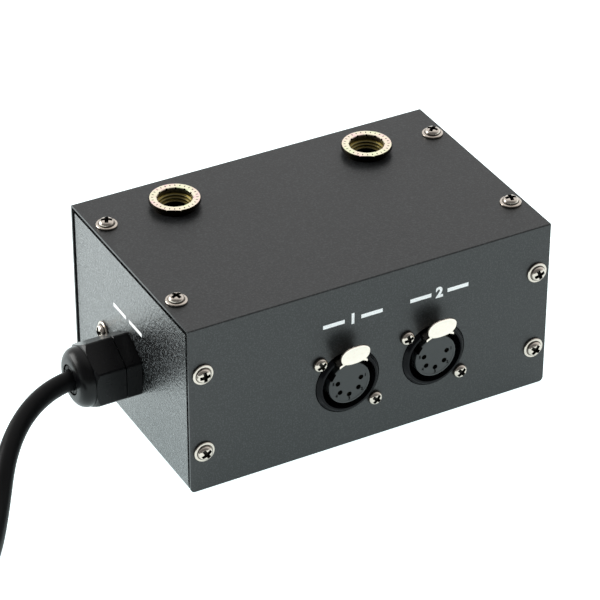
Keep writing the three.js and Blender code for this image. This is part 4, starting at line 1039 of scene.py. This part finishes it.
def small_screw(name):
    """A plain pan head with a cross recess."""
    s = SMALL_SCREW
    head = s["head"]
    rise = s["height"]
    outline = [
        (0, -s["shank_length"]), (s["shank"] * 0.5, -s["shank_length"]),
        (s["shank"], 1 - s["shank_length"]), (s["shank"], 0), (head - 0.12, 0), (head, 0.14),
        (head, rise * 0.3), (head * 0.95, rise * 0.5), (head * 0.84, rise * 0.7),
        (head * 0.66, rise * 0.87), (head * 0.4, rise * 0.97), (0, rise),
    ]
    return crossed(name, s, outline, sides=48, edge=0.06)


def place_screws(pattern, seats):
    """Copies the pattern screw to each seat, a node and the frame that it stands in."""
    for node, place in seats:
        fit(copy_of(pattern, f"{node}_head"), place, "screw", "nickel_plate", [node],
            finish="screw_nickel")
    bpy.data.objects.remove(pattern, do_unlink=True)


def place_cover_screws():
    seats = []
    for name, panel_frame in (("top", TOP), ("front", FRONT), ("rear", REAR)):
        for k, turn in enumerate(COVER_SCREW_TURNS[name], 1):
            node = f"cover_screw_{name}_{k}"
            seats.append((node, on_panel(panel_frame, node, SCREW_SEAT, turn)))
    seats.append(("earth_screw", on_panel(LEFT, "earth_screw", SCREW_SEAT, EARTH_SCREW_TURN)))
    place_screws(cover_screw("cover_screw"), seats)


def place_small_screws():
    seats = []
    for name, turns in SMALL_SCREW_TURNS.items():
        panel_frame = REAR if name == "inlet_screw" else FRONT
        for end, turn in zip(("upper", "lower"), turns):
            node = f"{name}_{end}"
            seats.append((node, on_panel(panel_frame, node, SCREW_SEAT, turn)))
    place_screws(small_screw("small_screw"), seats)


# Quarter-turn receptacles

def receptacle(name):
    """A flanged socket with a stepped bore, notches round its mouth and ticks round its flange."""
    s = RING
    top = s["height"]
    under = s["neck_height"]
    outline = [
        (0, -s["barrel_length"]), (s["barrel"] - 0.4, -s["barrel_length"]),
        (s["barrel"], 0.4 - s["barrel_length"]), (s["barrel"], 0), (s["neck"], 0), (s["neck"], under),
        (s["outer"] - 0.25, under), (s["outer"], under + 0.25), (s["outer"], top - s["chamfer"]),
        (s["outer"] - 0.12, top - 0.1), (s["outer"] - s["chamfer"], top), (s["tick_outer"], top),
        (s["tick_inner"], top),
    ]
    level = top
    for radius, depth in s["steps"]:
        outline += [(radius + 0.2, level), (radius, level - 0.2), (radius, top - depth)]
        level = top - depth
    outline += [(s["deep"] + 0.2, level), (s["deep"], level - 0.2),
                (s["deep"], s["floor"] - s["barrel_length"]), (0, s["floor"] - s["barrel_length"])]
    # Every third face of the flange carries a tick
    every = 3
    sides = every * bpy.context.scene.splitter_sizes.ring_ticks
    ring = turned(name, outline, sides=sides)

    def is_tick(face):
        spot = face.calc_center_median()
        radius = math.hypot(spot.x, spot.y)
        step = math.floor(math.atan2(spot.y, spot.x) / math.tau * sides + NEAR)
        on_track = s["tick_inner"] < radius < s["tick_outer"]
        return on_track and face.normal.z > 0.9 and step % every == 0

    with editing(ring):
        pick("FACE", is_tick)
        bpy.ops.mesh.inset(thickness=s["tick_inset"], depth=0, use_individual=True)
        bpy.ops.mesh.extrude_region_move(TRANSFORM_OT_translate={"value": (0, 0, -s["tick_depth"])})
    past = top + OVERRUN
    cutters = [block("flat", (-s["outer"], -s["outer"] - OVERRUN, under),
                     (s["outer"], s["flat"] - s["outer"], past))]
    mouth = s["steps"][0][0]
    for x, y in around(s["notches"], mouth, first=s["notches"] / 4):
        cutters.append(rod("notch", s["notch"], top - s["notch_depth"], past, sides=20, at=(x, y, 0)))
    cut(ring, cutters)

    def depth_share(spot, normal):
        """How much painted shade: the ticks, the notches and the rim's side most, the bore's walls less.
        """
        rim_from = 8
        radius = math.hypot(spot.x, spot.y)
        sunk = top - spot.z
        if radius < mouth + 0.1 and sunk > 0.1:
            return 0 if normal.z > 0.8 else min(0.5 + sunk * 0.08, 1)
        if radius > rim_from and sunk > 0.4:
            return 1
        return 1 if 0.05 < sunk < s["notch_depth"] + 0.05 else 0

    return mark_deep(ring, depth_share)


def place_receptacles():
    ring = receptacle("receptacle")
    for k in (1, 2):
        node = f"lock_receptacle_{k}"
        place = on_panel(TOP, f"receptacle_nut_{k}", SCREW_SEAT, RING["turn_degrees"])
        fit(copy_of(ring, f"{node}_ring"), place, "receptacle", "yellow_zinc", [node])
    bpy.data.objects.remove(ring, do_unlink=True)


# Round connectors

def shell_screw_places(panel_frame, insert, screw):
    """Where the two screws of a connector stand from its centre, on the panel."""
    shift = panel_frame.to_3x3().inverted() @ (centre(f"{screw}_upper") - centre(insert))
    return (Vector((shift.x, shift.y, 0)), Vector((-shift.x, -shift.y, 0)))


def shell_blank(name, screw_places):
    """Barrel with a rounded rim, the flange behind the panel and two bosses, before it is bored."""
    s = SHELL
    outline = [
        (0, -s["depth"]), (s["radius"] - 0.3, -s["depth"]), (s["radius"], 0.3 - s["depth"]),
        (s["radius"], 0.12), (s["rim"] + 0.06, s["proud"] - 0.22), (s["rim"] - 0.16, s["proud"] - 0.03),
        (s["rim"] - 0.3, s["proud"]), (0, s["proud"]),
    ]
    blank = turned(name, outline, sides=128)
    w = s["flange_width"] / 2
    h = s["flange_height"] / 2
    front = -s["flange_back"]
    back = front - s["flange_thickness"]
    flange = block("flange", (-w, -h, back), (w, h, front))
    parts = [round_upright(flange, s["flange_corner"], segments=8)]
    for place in screw_places:
        parts.append(rod("boss", s["boss"], back - s["boss_length"], back + GAP, sides=40, at=place))
    return cut(blank, parts, operation="UNION")


def shell_screw_cuts(screw_places):
    return [rod("screw_hole", SHELL["screw_hole"], -SHELL["screw_hole_depth"], OVERRUN, sides=28,
                at=place) for place in screw_places]


def outlet_housing(name):
    """An outlet's housing: bored, slotted for the latch, with ears for its pivots and a rivet."""
    s = SHELL
    arm = LATCH
    rivet = RIVET
    screw_places = shell_screw_places(FRONT, "outlet_insert_1", "outlet_screw_1")
    housing = shell_blank(name, screw_places)
    ears = block("ears", (-arm["ear_half"], arm["ear_low"], -arm["pivot_depth"] - arm["ear_reach"]),
                 (arm["ear_half"], arm["ear_high"], arm["ear_reach"] - arm["pivot_depth"]))
    cut(housing, [ears], operation="UNION")
    past = s["proud"] + OVERRUN
    pivot_end = arm["ear_half"] + OVERRUN
    cutters = [
        rod("bore", s["bore"], s["back_wall"] - s["depth"], past, sides=128),
        rod("insert_hole", INSERT["radius"] + GAP, -s["depth"] - OVERRUN, 0, sides=96),
        block("slot", (-arm["slot_half"], arm["slot_floor"], -arm["slot_depth"]),
              (arm["slot_half"], s["flange_height"], past)),
        rod("pivot_hole", arm["pin_hole"], -pivot_end, pivot_end, sides=24, axis="x",
            at=(0, arm["pivot_height"], -arm["pivot_depth"])),
        *shell_screw_cuts(screw_places),
    ]
    cut(housing, cutters)
    shank = rod("rivet", rivet["radius"], s["radius"] - 1.2, rivet["seat"] + 0.1, sides=24, axis="y",
                at=(0, 0, -rivet["depth"]))
    head = rod("rivet_head", rivet["head"], rivet["seat"], rivet["seat"] + rivet["height"], sides=24,
               axis="y", at=(0, 0, -rivet["depth"]))
    cut(housing, [shank, head], operation="UNION")
    return soften(housing, 0.08, over_degrees=42)


def contact_spots(circle, mirror=1):
    """Where the contacts stand on a circle, seen from the front or, mirrored, from the rear."""
    for degrees in CONTACT_DEGREES:
        angle = math.radians(degrees)
        yield mirror * circle * math.cos(angle), circle * math.sin(angle)


def outlet_insert(name):
    """The round insulator: five holes with lead-ins, a keyway, and a rounded rim."""
    s = INSERT
    outline = [
        (0, -s["back"]), (s["radius"] - 0.2, -s["back"]), (s["radius"], 0.2 - s["back"]),
        (s["radius"], s["proud"] - 0.3), (s["radius"] - 0.09, s["proud"] - 0.09),
        (s["radius"] - 0.3, s["proud"]), (s["radius"] - 0.7, s["proud"]),
        (s["radius"] - 0.8, s["proud"] - 0.1), (0, s["proud"] - 0.1),
    ]
    insert = turned(name, outline, sides=112)
    past = s["proud"] + OVERRUN
    cutters = []
    for x, y in contact_spots(s["circle"]):
        cutters.append(rod("contact_hole", s["hole"], -s["back"] - OVERRUN, past, sides=32,
                           at=(x, y, 0)))
    key = block("keyway", (s["radius"] - s["key_depth"], -s["key_half"], s["proud"] - s["key_length"]),
                (s["radius"] + OVERRUN, s["key_half"], past))
    key.rotation_euler.z = math.radians(s["key_degrees"])
    cutters.append(apply_place(key))
    cut(insert, cutters)
    soften(insert, 0.07, over_degrees=42)

    # Painted shade: the contact holes' walls are marked to turn near black.
    def in_hole(spot, normal):
        return normal.z < 0.3 and math.hypot(spot.x, spot.y) < s["radius"] - 0.6

    return mark_deep(insert, in_hole)


def tab_plate():
    """The push tab: a rounded leaf, dished on its face."""
    s = LATCH
    half = s["sheet"] / 2
    tab = rod("tab", 1, -half, half, sides=64)
    power = 2 / s["tab_squareness"]
    with editing(tab):
        shape = bmesh.from_edit_mesh(tab.data)
        for vertex in shape.verts:
            for axis, size in ((0, s["tab_half_width"]), (1, s["tab_half_height"])):
                value = vertex.co[axis]
                vertex.co[axis] = math.copysign(abs(value) ** power, value) * size
        bmesh.update_edit_mesh(tab.data)
        pick("FACE", lambda face: face.normal.z > 0.5)
        for rim, sink in s["tab_dish"]:
            bpy.ops.mesh.inset(thickness=rim, depth=-sink)
    tab.rotation_euler.x = math.radians(s["tab_degrees"])
    tab.location = (0, s["tab_height"], s["tab_out"])
    return apply_place(tab)


def outlet_latch(name):
    """The release latch: an arched arm with its pivots and tooth, and the tab that is pushed."""
    s = LATCH
    outer = s["inner"] + s["sheet"]
    back = -s["pivot_depth"] - s["tail"]
    outline = [(s["inner"], back), (outer, back), (outer, s["front"]), (s["inner"], s["front"]),
               (s["inner"], back)]
    latch = turned(name, outline, sides=128)
    wedge = block("wedge", (-s["half_width"], s["inner"] / 2, back - OVERRUN),
                  (s["half_width"], outer + OVERRUN, s["front"] + OVERRUN))
    cut(latch, [wedge], operation="INTERSECT")
    soften(latch, 0.12)
    thin = s["sheet"] * 0.4
    skirt = block("skirt", (-s["skirt_half"], s["skirt_low"] - s["tab_height"], -thin),
                  (s["skirt_half"], 0, thin - 0.2))
    skirt.rotation_euler.x = math.radians(s["tab_degrees"])
    skirt.location = (0, s["tab_height"], s["tab_out"])
    apply_place(skirt)
    lean = (s["tab_height"] - outer) * math.tan(math.radians(s["tab_degrees"]))
    join = block("join", (-s["skirt_half"], s["inner"] + 0.1, s["front"] - s["sheet"]),
                 (s["skirt_half"], outer - 0.05, s["tab_out"] - lean))
    tooth = block("tooth", (-s["tooth_half"], s["tooth_inner"], -s["tooth_back"]),
                  (s["tooth_half"], s["inner"] + s["sheet"] / 2, -s["tooth_front"]))
    pins = [rod("pivot", s["pin"], side * s["pin_inner"], side * s["pin_end"], sides=24, axis="x",
                at=(0, s["pivot_height"], -s["pivot_depth"])) for side in (-1, 1)]
    tab = soften(tab_plate(), 0.2, over_degrees=50)
    cut(latch, [skirt, join, tooth, *pins, tab], operation="UNION")
    return latch


def place_outlets():
    housing = outlet_housing("outlet_housing")
    insert = outlet_insert("outlet_insert")
    latch = outlet_latch("outlet_latch")
    for k, body in ((1, "left_latch"), (2, "right_latch")):
        place = on_panel(FRONT, f"outlet_insert_{k}")
        fit(copy_of(housing, f"outlet_shell_{k}"), place, "connector", "black_shell",
            [f"outlet_housing_{k}"])
        fit(copy_of(insert, f"outlet_insulator_{k}"), place, "connector", "grey_insulator",
            [f"outlet_insert_{k}"])
        fit(copy_of(latch, f"outlet_release_{k}"), place, "latch", "nickel_plate",
            [f"outlet_latch_{k}"], body=body)
    for pattern in (housing, insert, latch):
        bpy.data.objects.remove(pattern, do_unlink=True)


def place_inlet():
    """The rear inlet: its bored housing and the insulator disc that its pins stand in."""
    s = SHELL
    screw_places = shell_screw_places(REAR, "inlet_insert", "inlet_screw")
    housing = shell_blank("inlet_shell", screw_places)
    cut(housing, [
        rod("bore", INLET["bore"], INLET["back_wall"] - s["depth"], s["proud"] + OVERRUN, sides=128),
        rod("rear_hole", INLET["rear_hole"], -s["depth"] - OVERRUN, 0, sides=72),
        *shell_screw_cuts(screw_places),
    ])
    soften(housing, 0.1, over_degrees=42)
    place = on_panel(REAR, "inlet_insert")
    fit(housing, place, "connector", "black_shell", ["inlet_housing"])
    floor = INLET["back_wall"] + GAP - s["depth"]
    top = floor + INLET["disc"]
    radius = INLET["bore"] - GAP
    outline = [(0, floor), (radius, floor), (radius, top - 0.3), (radius - 0.3, top),
               (radius - 1.2, top), (radius - 1.4, top - 0.2), (0, top - 0.2)]
    disc = turned("inlet_insulator", outline, sides=96)
    holes = [rod("pin_hole", INLET["hole"], floor - OVERRUN, top + OVERRUN, sides=28, at=(x, y, 0))
             for x, y in contact_spots(INSERT["circle"], mirror=-1)]
    cut(disc, holes)
    fit(disc, place, "connector", "grey_insulator", ["inlet_insert"])


# Cable gland

def gland_nut(name):
    """The domed nut: a hexagon with rounded shoulders that runs into a dome with a small mouth."""
    s = GLAND
    start = s["body"] + GAP
    corner = s["across"] / math.sqrt(3)
    rise = s["length"] - s["nut_hex_end"]
    outline = [(0, start), (corner - 0.5, start), (corner + 0.2, start + 0.5),
               (corner + 0.2, s["nut_hex_end"] - 2.1), (corner - 0.35, s["nut_hex_end"] - 1.1),
               (corner - 1.0, s["nut_hex_end"] - 0.35), (s["dome"] + 0.35, s["nut_hex_end"] - 0.05)]
    outline += [(share * s["dome"], s["nut_hex_end"] + height * rise) for share, height in DOME_SHARES]
    outline += [(s["mouth"] + s["lip"], s["length"] - 0.02), (s["mouth"] + s["lip"] / 2, s["length"]),
                (0, s["length"])]
    nut = turned(name, outline, sides=96)
    past = s["length"] + OVERRUN
    prism = hexagon("hexagon", s["across"], start - OVERRUN, past)
    cut(nut, [prism], operation="INTERSECT")
    cut(nut, [
        rod("cavity", s["cavity"], start - OVERRUN, s["cavity_end"], sides=72),
        rod("throat", s["throat"], s["cavity_end"] - GAP, s["throat_end"], sides=72),
        rod("mouth", s["mouth"], s["throat_end"] - GAP, past, sides=72),
    ])
    return soften(nut, 0.12, over_degrees=40)


def gland_body(name):
    """The gland's body: thread, hexagon with a washer face, and the sleeve that the nut turns on."""
    s = GLAND
    thread = turned(name, [
        (0, -s["thread_length"]), (s["thread"] - 0.6, -s["thread_length"]),
        (s["thread"], 0.6 - s["thread_length"]), (s["thread"], s["body"] / 2),
        (s["sleeve"], s["body"] / 2), (s["sleeve"], s["sleeve_end"] - 0.4),
        (s["sleeve"] - 0.4, s["sleeve_end"]), (0, s["sleeve_end"]),
    ], sides=80)
    nut = hexagon("hexagon", s["across"], GAP, s["body"])
    corner = s["across"] / math.sqrt(3)
    guard = turned("guard", [(0, GAP), (corner - 0.3, GAP), (corner + 0.1, GAP + 0.5),
                             (corner + 0.1, s["body"] - 0.5), (corner - 0.5, s["body"]), (0, s["body"])],
                   sides=96)
    cut(nut, [guard], operation="INTERSECT")
    cut(thread, [nut], operation="UNION")
    cut(thread, [
        rod("bore", s["bore"], -s["thread_length"] - OVERRUN, s["sleeve_end"], sides=64),
        rod("seat", s["sleeve_bore"], s["sleeve_start"], s["sleeve_end"] + OVERRUN, sides=72),
    ])
    return soften(thread, 0.12, over_degrees=40)


def gland_seal(name):
    """The seal, whose tip shows as a ring of fingers between the lead and the nut's mouth."""
    s = GLAND
    outer = s["sleeve_bore"] - GAP
    inner = LEAD_RADIUS + GAP
    throat = s["throat"] - GAP
    seal = turned(name, [
        (inner, s["sleeve_start"] + GAP), (outer, s["sleeve_start"] + GAP),
        (outer, s["sleeve_end"]), (throat, s["sleeve_end"] + GAP),
        (throat, s["throat_end"] - GAP), (s["tip_radius"], s["throat_end"]),
        (s["tip_radius"], s["tip"] - 0.25), (s["tip_radius"] - 0.25, s["tip"]), (inner + 0.2, s["tip"]),
        (inner, s["tip"] - 0.2), (inner, s["sleeve_start"] + GAP),
    ], sides=72)
    slits = []
    for k in range(s["slits"]):
        slit = block("slit", (LEAD_RADIUS - 0.5, -s["slit_half"], s["tip"] - s["slit_depth"]),
                     (throat + 1, s["slit_half"], s["tip"] + 1))
        slit.rotation_euler.z = math.tau * (k + 0.5) / s["slits"]
        slits.append(apply_place(slit))
    cut(seal, slits)
    return seal


def place_gland():
    place = on_panel(LEFT, "gland_nut")
    for node, make, slot in (("gland_nut", gland_nut, "black_nylon"),
                             ("gland_body", gland_body, "black_nylon"),
                             ("gland_seal", gland_seal, "black_rubber")):
        fit(make(f"{node}_shape"), place, "gland", slot, [node])


# Printed marks: a plain number between two bars and two bars alone; and the contacts' sunken numbers as
# near-black painted shade

INK_LIFT = 0.01
NUMERAL_HEIGHT = 4.0
BAR_HEIGHT = 1.5
OUTLET_MARKS = {"first_outlet": ("1", -8.0, 51.2), "second_outlet": ("2", 25.8, 51.2)}
OUTLET_BARS = {"inner": 3.2, "outer": 11.5}
MAINS_BARS = {"x": -1.8, "y": 42.9, "inner": 1.2, "outer": 11}
CONTACT_NUMBERS = {"circle": 6.35, "height": 1.15, "thickness": 0.02, "sunk": 0.08}
# A numeral's height as a share of its text's size, and its strokes' boldness as one of its height
DIGIT_SHARE = 0.72
BOLD_SHARE = 0.065


def numeral(name, text, height, thickness):
    """A text made into a mesh, centred on its own middle, standing on z = 0."""
    deselect()
    bpy.ops.object.text_add()
    piece = bpy.context.active_object
    piece.name = name
    piece.data.body = text
    piece.data.align_x = "CENTER"
    piece.data.align_y = "CENTER"
    piece.data.size = height / DIGIT_SHARE
    piece.data.offset = height * BOLD_SHARE
    piece.data.extrude = thickness / 2
    piece.data.resolution_u = 6
    bpy.ops.object.convert(target="MESH")
    piece = bpy.context.active_object
    piece.location.z = thickness / 2
    apply_place(piece)
    with editing(piece):
        bpy.ops.mesh.select_all(action="SELECT")
        bpy.ops.mesh.remove_doubles(threshold=0.001)
        bpy.ops.mesh.normals_make_consistent(inside=False)
    return piece


def joined(name, pieces):
    take(*pieces)
    bpy.ops.object.join()
    piece = bpy.context.active_object
    piece.name = name
    return piece


def print_mark(name, span, panel_frame, x, y, text=""):
    """Two bars on a panel, with the text between them if there is one."""
    thickness = bpy.context.scene.splitter_sizes.ink_height / MM
    parts = [block("bar", (side * span["outer"], -BAR_HEIGHT / 2, 0),
                   (side * span["inner"], BAR_HEIGHT / 2, thickness)) for side in (-1, 1)]
    if text:
        parts.append(numeral("numeral", text, NUMERAL_HEIGHT, thickness))
    place = panel_frame @ Matrix.Translation((x, y, INK_LIFT))
    fit(joined(name, parts), place, "print", "black_coat", finish="white_ink")


def print_contact_numbers(k):
    """The small numbers beside an outlet's contacts, as one piece."""
    s = CONTACT_NUMBERS
    digits = []
    for number, (x, y) in enumerate(contact_spots(s["circle"]), 1):
        digit = numeral("digit", str(number), s["height"], s["thickness"])
        digit.location = (x, y, 0)
        digits.append(apply_place(digit))
    place = on_panel(FRONT, f"outlet_insert_{k}", INSERT["proud"] - s["sunk"] + INK_LIFT)
    # Painted shade: the sunken numbers are near-black flat numerals on the insulator's face.
    fit(joined(f"outlet_numbers_{k}", digits), place, "print", "grey_insulator", finish="dark_ink")


def print_marks():
    for name, (text, x, y) in OUTLET_MARKS.items():
        print_mark(f"{name}_mark", OUTLET_BARS, FRONT, x, y, text)
    print_mark("mains_mark", MAINS_BARS, LEFT, MAINS_BARS["x"], MAINS_BARS["y"])
    for k in (1, 2):
        print_contact_numbers(k)


# What stays inside the box: CAD nodes with their finishes

INNER_FINISHES = {
    "nickel_plate": ("earth_lug", "earth_nut", "outlet_latch_spring_1", "outlet_latch_spring_2",
                     "supply_screw_1", "supply_screw_2"),
    "yellow_zinc": ("receptacle_nut_1", "receptacle_nut_2"),
    "epoxy": ("mains_supply",),
    "blue_sleeve": ("smoothing_capacitor",),
    "green_moulding": ("mains_terminal",),
    "fuse_glass": ("fuse",),
    "red_wire": ("supply_wires",),
    "grey_ribbon": ("inlet_ribbon",),
    "black_rubber": ("mains_tail",),
    "black_nylon": ("gland_locknut",),
    "laminate": ("main_board",),
}
CHIPS = ("receiver_chip", "line_driver_chip_1", "line_driver_chip_2")
CHIP_HALF_HEIGHT = 3.25


def finish_inner_nodes():
    for name, nodes in INNER_FINISHES.items():
        for node in nodes:
            repaint(node, finish_of(name))
    for node in CHIPS:
        repaint(node, epoxy(f"epoxy_{node}", centre(node), CHIP_HALF_HEIGHT))
    repaint("inlet_board", laminate("laminate_inlet", face_sign=1))


# Stage: pale floor, soft light, the photograph's camera

FLOOR_SIZE = 12
FLOOR_TINT = (0.85, 1, 1.01)
# The room is white but for the side that the camera stands on. The shade runs from white at the
# first number to dark at the second, counted along this direction.
DARK_SIDE = (-0.48, -0.88, 0)
DARK_SPAN = (-0.3, 0.5)
LEFT_LIGHT = {"place": (-0.46, 0.36, 0.2), "aim": (-0.11, 0.03, 0), "size": (0.35, 0.3),
              "colour": (1, 1, 0.98)}


def make_floor():
    deselect()
    bpy.ops.mesh.primitive_plane_add(size=FLOOR_SIZE, location=(0, 0, 0))
    floor = bpy.context.active_object
    floor.name = "studio_floor"
    with editing(floor):
        bpy.ops.mesh.select_all(action="SELECT")
        bpy.ops.mesh.subdivide(number_cuts=3)
    stage = bpy.context.scene.splitter_stage
    pale = Finish("pale_floor", roughness=0.9)
    cloud = pale.noise(300, detail=2)
    pale.set("base color", pale.mixed(cloud, (0.74, 0.74, 0.74), (0.76, 0.76, 0.76)))
    pale.set("emission color", FLOOR_TINT)
    pale.set("emission strength", stage.floor_glow)
    floor.data.materials.append(pale.material)


def make_camera():
    data = bpy.data.cameras.new("photograph_camera")
    data.sensor_fit = "HORIZONTAL"
    data.sensor_width = CAMERA["sensor_width"]
    data.lens = CAMERA["focal_pixels"] / IMAGE_SIZE * CAMERA["sensor_width"]
    data.clip_start, data.clip_end = CAMERA["clip"]
    camera = bpy.data.objects.new("photograph_camera", data)
    camera.location = CAMERA["place"]
    camera.rotation_euler = [math.radians(angle) for angle in CAMERA["turn_degrees"]]
    bpy.context.collection.objects.link(camera)
    bpy.context.scene.camera = camera


def make_left_light(power):
    """A soft light at the left rear, aimed at the floor beside the box's left end."""
    data = bpy.data.lights.new("left_light", "AREA")
    data.shape = "RECTANGLE"
    data.size, data.size_y = LEFT_LIGHT["size"]
    data.energy = power
    data.color = LEFT_LIGHT["colour"]
    light = bpy.data.objects.new("left_light", data)
    place = Vector(LEFT_LIGHT["place"])
    light.location = place
    light.rotation_euler = (Vector(LEFT_LIGHT["aim"]) - place).to_track_quat("-Z", "Y").to_euler()
    bpy.context.collection.objects.link(light)


def make_room(room_light, dark_side):
    """White surroundings of one strength, which fall off to another on the dark side."""
    world = bpy.data.worlds.new("soft_white_room")
    bpy.context.scene.world = world
    world.use_nodes = True
    tree = world.node_tree
    direction = tree.nodes.new("ShaderNodeTexCoord").outputs["Generated"]
    towards = tree.nodes.new("ShaderNodeVectorMath")
    towards.operation = "DOT_PRODUCT"
    tree.links.new(direction, towards.inputs[0])
    towards.inputs[1].default_value = DARK_SIDE
    shade = tree.nodes.new("ShaderNodeMapRange")
    tree.links.new(towards.outputs["Value"], shade.inputs["Value"])
    for name, value in zip(("From Min", "From Max", "To Min", "To Max"),
                           (*DARK_SPAN, room_light, dark_side)):
        shade.inputs[name].default_value = value
    background = tree.nodes["Background"]
    tree.links.new(shade.outputs[0], background.inputs["Strength"])
    background.inputs["Color"].default_value = (1, 1, 1, 1)


def make_lights():
    stage = bpy.context.scene.splitter_stage
    make_room(stage.room_light, stage.dark_side)
    make_left_light(stage.left_light)
    bpy.context.scene.view_settings.view_transform = "Standard"


# Add-on: what a user would change, one operator for each group of pieces, and their panel

def length_property(name, description, millimetres):
    return FloatProperty(name=name, description=description, default=millimetres * MM, min=0,
                         precision=5, subtype="DISTANCE", unit="LENGTH")


def colour_property(name, description, default):
    return FloatVectorProperty(name=name, description=description, default=default, min=0, max=1,
                               size=3, subtype="COLOR")


class SplitterSizes(bpy.types.PropertyGroup):
    """Sizes of the folded sheets and of the fine detail."""
    cover_sheet: length_property("Cover sheet", "Thickness of the cover's cut edges", 0.8)
    tray_sheet: length_property("Base sheet", "Thickness of the base's sheet", 1.2)
    front_fold: length_property("Front fold", "Outer radius of the cover's front fold", 0.5)
    rear_fold: length_property("Rear fold", "Outer radius of the cover's rear fold", 1.0)
    tray_fold: length_property("Base fold", "Outer radius of the base's folds", 1.3)
    foot_corner: length_property("Foot corner", "Rounding of the cover's lower corners", 1.6)
    edge_break: length_property("Edge break", "Rounding of the sheets' cut edges", 0.15)
    ink_height: length_property("Ink height", "Thickness of the printed marks", 0.03)
    ring_ticks: IntProperty(name="Ring ticks", description="Marks round a receptacle's flange",
                            default=28, min=6, max=60)


class SplitterColours(bpy.types.PropertyGroup):
    """Colours of the finishes."""
    coat: colour_property("Coat", "Powder coat of the sheets", (0.0125, 0.0135, 0.014))
    nickel: colour_property("Nickel", "Plating of the screws and latches", (0.84, 0.75, 0.66))
    gold: colour_property("Zinc", "Yellow passivation of the receptacles", (0.92, 0.86, 0.66))
    nylon: colour_property("Nylon", "Cable gland and plug", (0.002, 0.002, 0.0024))
    sheath: colour_property("Sheath", "Sheath of the mains lead", (0.003, 0.003, 0.0034))
    ink: colour_property("Ink", "Printed marks", (0.97, 0.97, 0.97))


class SplitterStage(bpy.types.PropertyGroup):
    """Strength of the studio's light."""
    room_light: FloatProperty(name="Room light", description="Strength of the white surroundings",
                              default=1.12, min=0)
    dark_side: FloatProperty(name="Dark side", description="Strength behind the camera",
                             default=0.22, min=0)
    left_light: FloatProperty(name="Left light", description="Power of the light at the left",
                              default=2.5, min=0, unit="POWER")
    floor_glow: FloatProperty(name="Floor glow", description="Light that the floor adds",
                              default=1.1, min=0)


class SPLITTER_OT_stage(bpy.types.Operator):
    """Sets up the camera, the pale floor and the soft light"""
    bl_idname = "splitter.stage"
    bl_label = "Stage"

    def execute(self, context):
        make_camera()
        make_lights()
        make_floor()
        return {"FINISHED"}


class SPLITTER_OT_cord(bpy.types.Operator):
    """Lays the mains lead from the gland to its plug"""
    bl_idname = "splitter.cord"
    bl_label = "Mains lead and plug"

    def execute(self, context):
        lay_cord([plug_body(), plug_contacts()])
        return {"FINISHED"}


class SPLITTER_OT_sheets(bpy.types.Operator):
    """Folds the cover and the base from sheet"""
    bl_idname = "splitter.sheets"
    bl_label = "Cover and base"

    def execute(self, context):
        cover_sheet()
        tray_sheet()
        return {"FINISHED"}


class SPLITTER_OT_screws(bpy.types.Operator):
    """Puts in the cover's screws, the earth screw and the connectors' screws"""
    bl_idname = "splitter.screws"
    bl_label = "Screws"

    def execute(self, context):
        place_cover_screws()
        place_small_screws()
        return {"FINISHED"}


class SPLITTER_OT_receptacles(bpy.types.Operator):
    """Puts in the two quarter-turn receptacles"""
    bl_idname = "splitter.receptacles"
    bl_label = "Quarter-turn receptacles"

    def execute(self, context):
        place_receptacles()
        return {"FINISHED"}


class SPLITTER_OT_outlets(bpy.types.Operator):
    """Puts in the two outlets: shell, insulator and release latch"""
    bl_idname = "splitter.outlets"
    bl_label = "Outlets"

    def execute(self, context):
        place_outlets()
        return {"FINISHED"}


class SPLITTER_OT_inlet(bpy.types.Operator):
    """Puts in the inlet on the rear"""
    bl_idname = "splitter.inlet"
    bl_label = "Inlet"

    def execute(self, context):
        place_inlet()
        return {"FINISHED"}


class SPLITTER_OT_gland(bpy.types.Operator):
    """Puts in the cable gland: body, seal and domed nut"""
    bl_idname = "splitter.gland"
    bl_label = "Cable gland"

    def execute(self, context):
        place_gland()
        return {"FINISHED"}


class SPLITTER_OT_marks(bpy.types.Operator):
    """Prints the plain numbers and bars"""
    bl_idname = "splitter.marks"
    bl_label = "Printed marks"

    def execute(self, context):
        print_marks()
        return {"FINISHED"}


class SPLITTER_OT_inner_pieces(bpy.types.Operator):
    """Gives the pieces inside the box their finishes"""
    bl_idname = "splitter.inner_pieces"
    bl_label = "Inner pieces"

    def execute(self, context):
        finish_inner_nodes()
        return {"FINISHED"}


GROUPS = {"splitter_sizes": SplitterSizes, "splitter_colours": SplitterColours,
          "splitter_stage": SplitterStage}
OPERATORS = (SPLITTER_OT_stage, SPLITTER_OT_cord, SPLITTER_OT_sheets, SPLITTER_OT_screws,
             SPLITTER_OT_receptacles, SPLITTER_OT_outlets, SPLITTER_OT_inlet, SPLITTER_OT_gland,
             SPLITTER_OT_marks, SPLITTER_OT_inner_pieces)


class SPLITTER_PT_pieces(bpy.types.Panel):
    """Lists the sizes, the colours and the pieces"""
    bl_idname = "SPLITTER_PT_pieces"
    bl_label = "Splitter"
    bl_space_type = "VIEW_3D"
    bl_region_type = "UI"
    bl_category = "Splitter"

    def draw(self, context):
        for attribute, group in GROUPS.items():
            box = self.layout.box()
            for name in group.__annotations__:
                box.prop(getattr(context.scene, attribute), name)
        for operator in OPERATORS:
            self.layout.operator(operator.bl_idname)


CLASSES = (*GROUPS.values(), *OPERATORS, SPLITTER_PT_pieces)


def register():
    for item in CLASSES:
        bpy.utils.register_class(item)
    for attribute, group in GROUPS.items():
        setattr(bpy.types.Scene, attribute, PointerProperty(type=group))


def unregister():
    for attribute in GROUPS:
        delattr(bpy.types.Scene, attribute)
    for item in reversed(CLASSES):
        bpy.utils.unregister_class(item)


def main():
    register()
    for operator in OPERATORS:
        name = operator.bl_idname.partition(".")[2]
        if getattr(bpy.ops.splitter, name)() != {"FINISHED"}:
            raise RuntimeError(f"{operator.bl_label}: not finished")


if __name__ == "__main__":
    main()
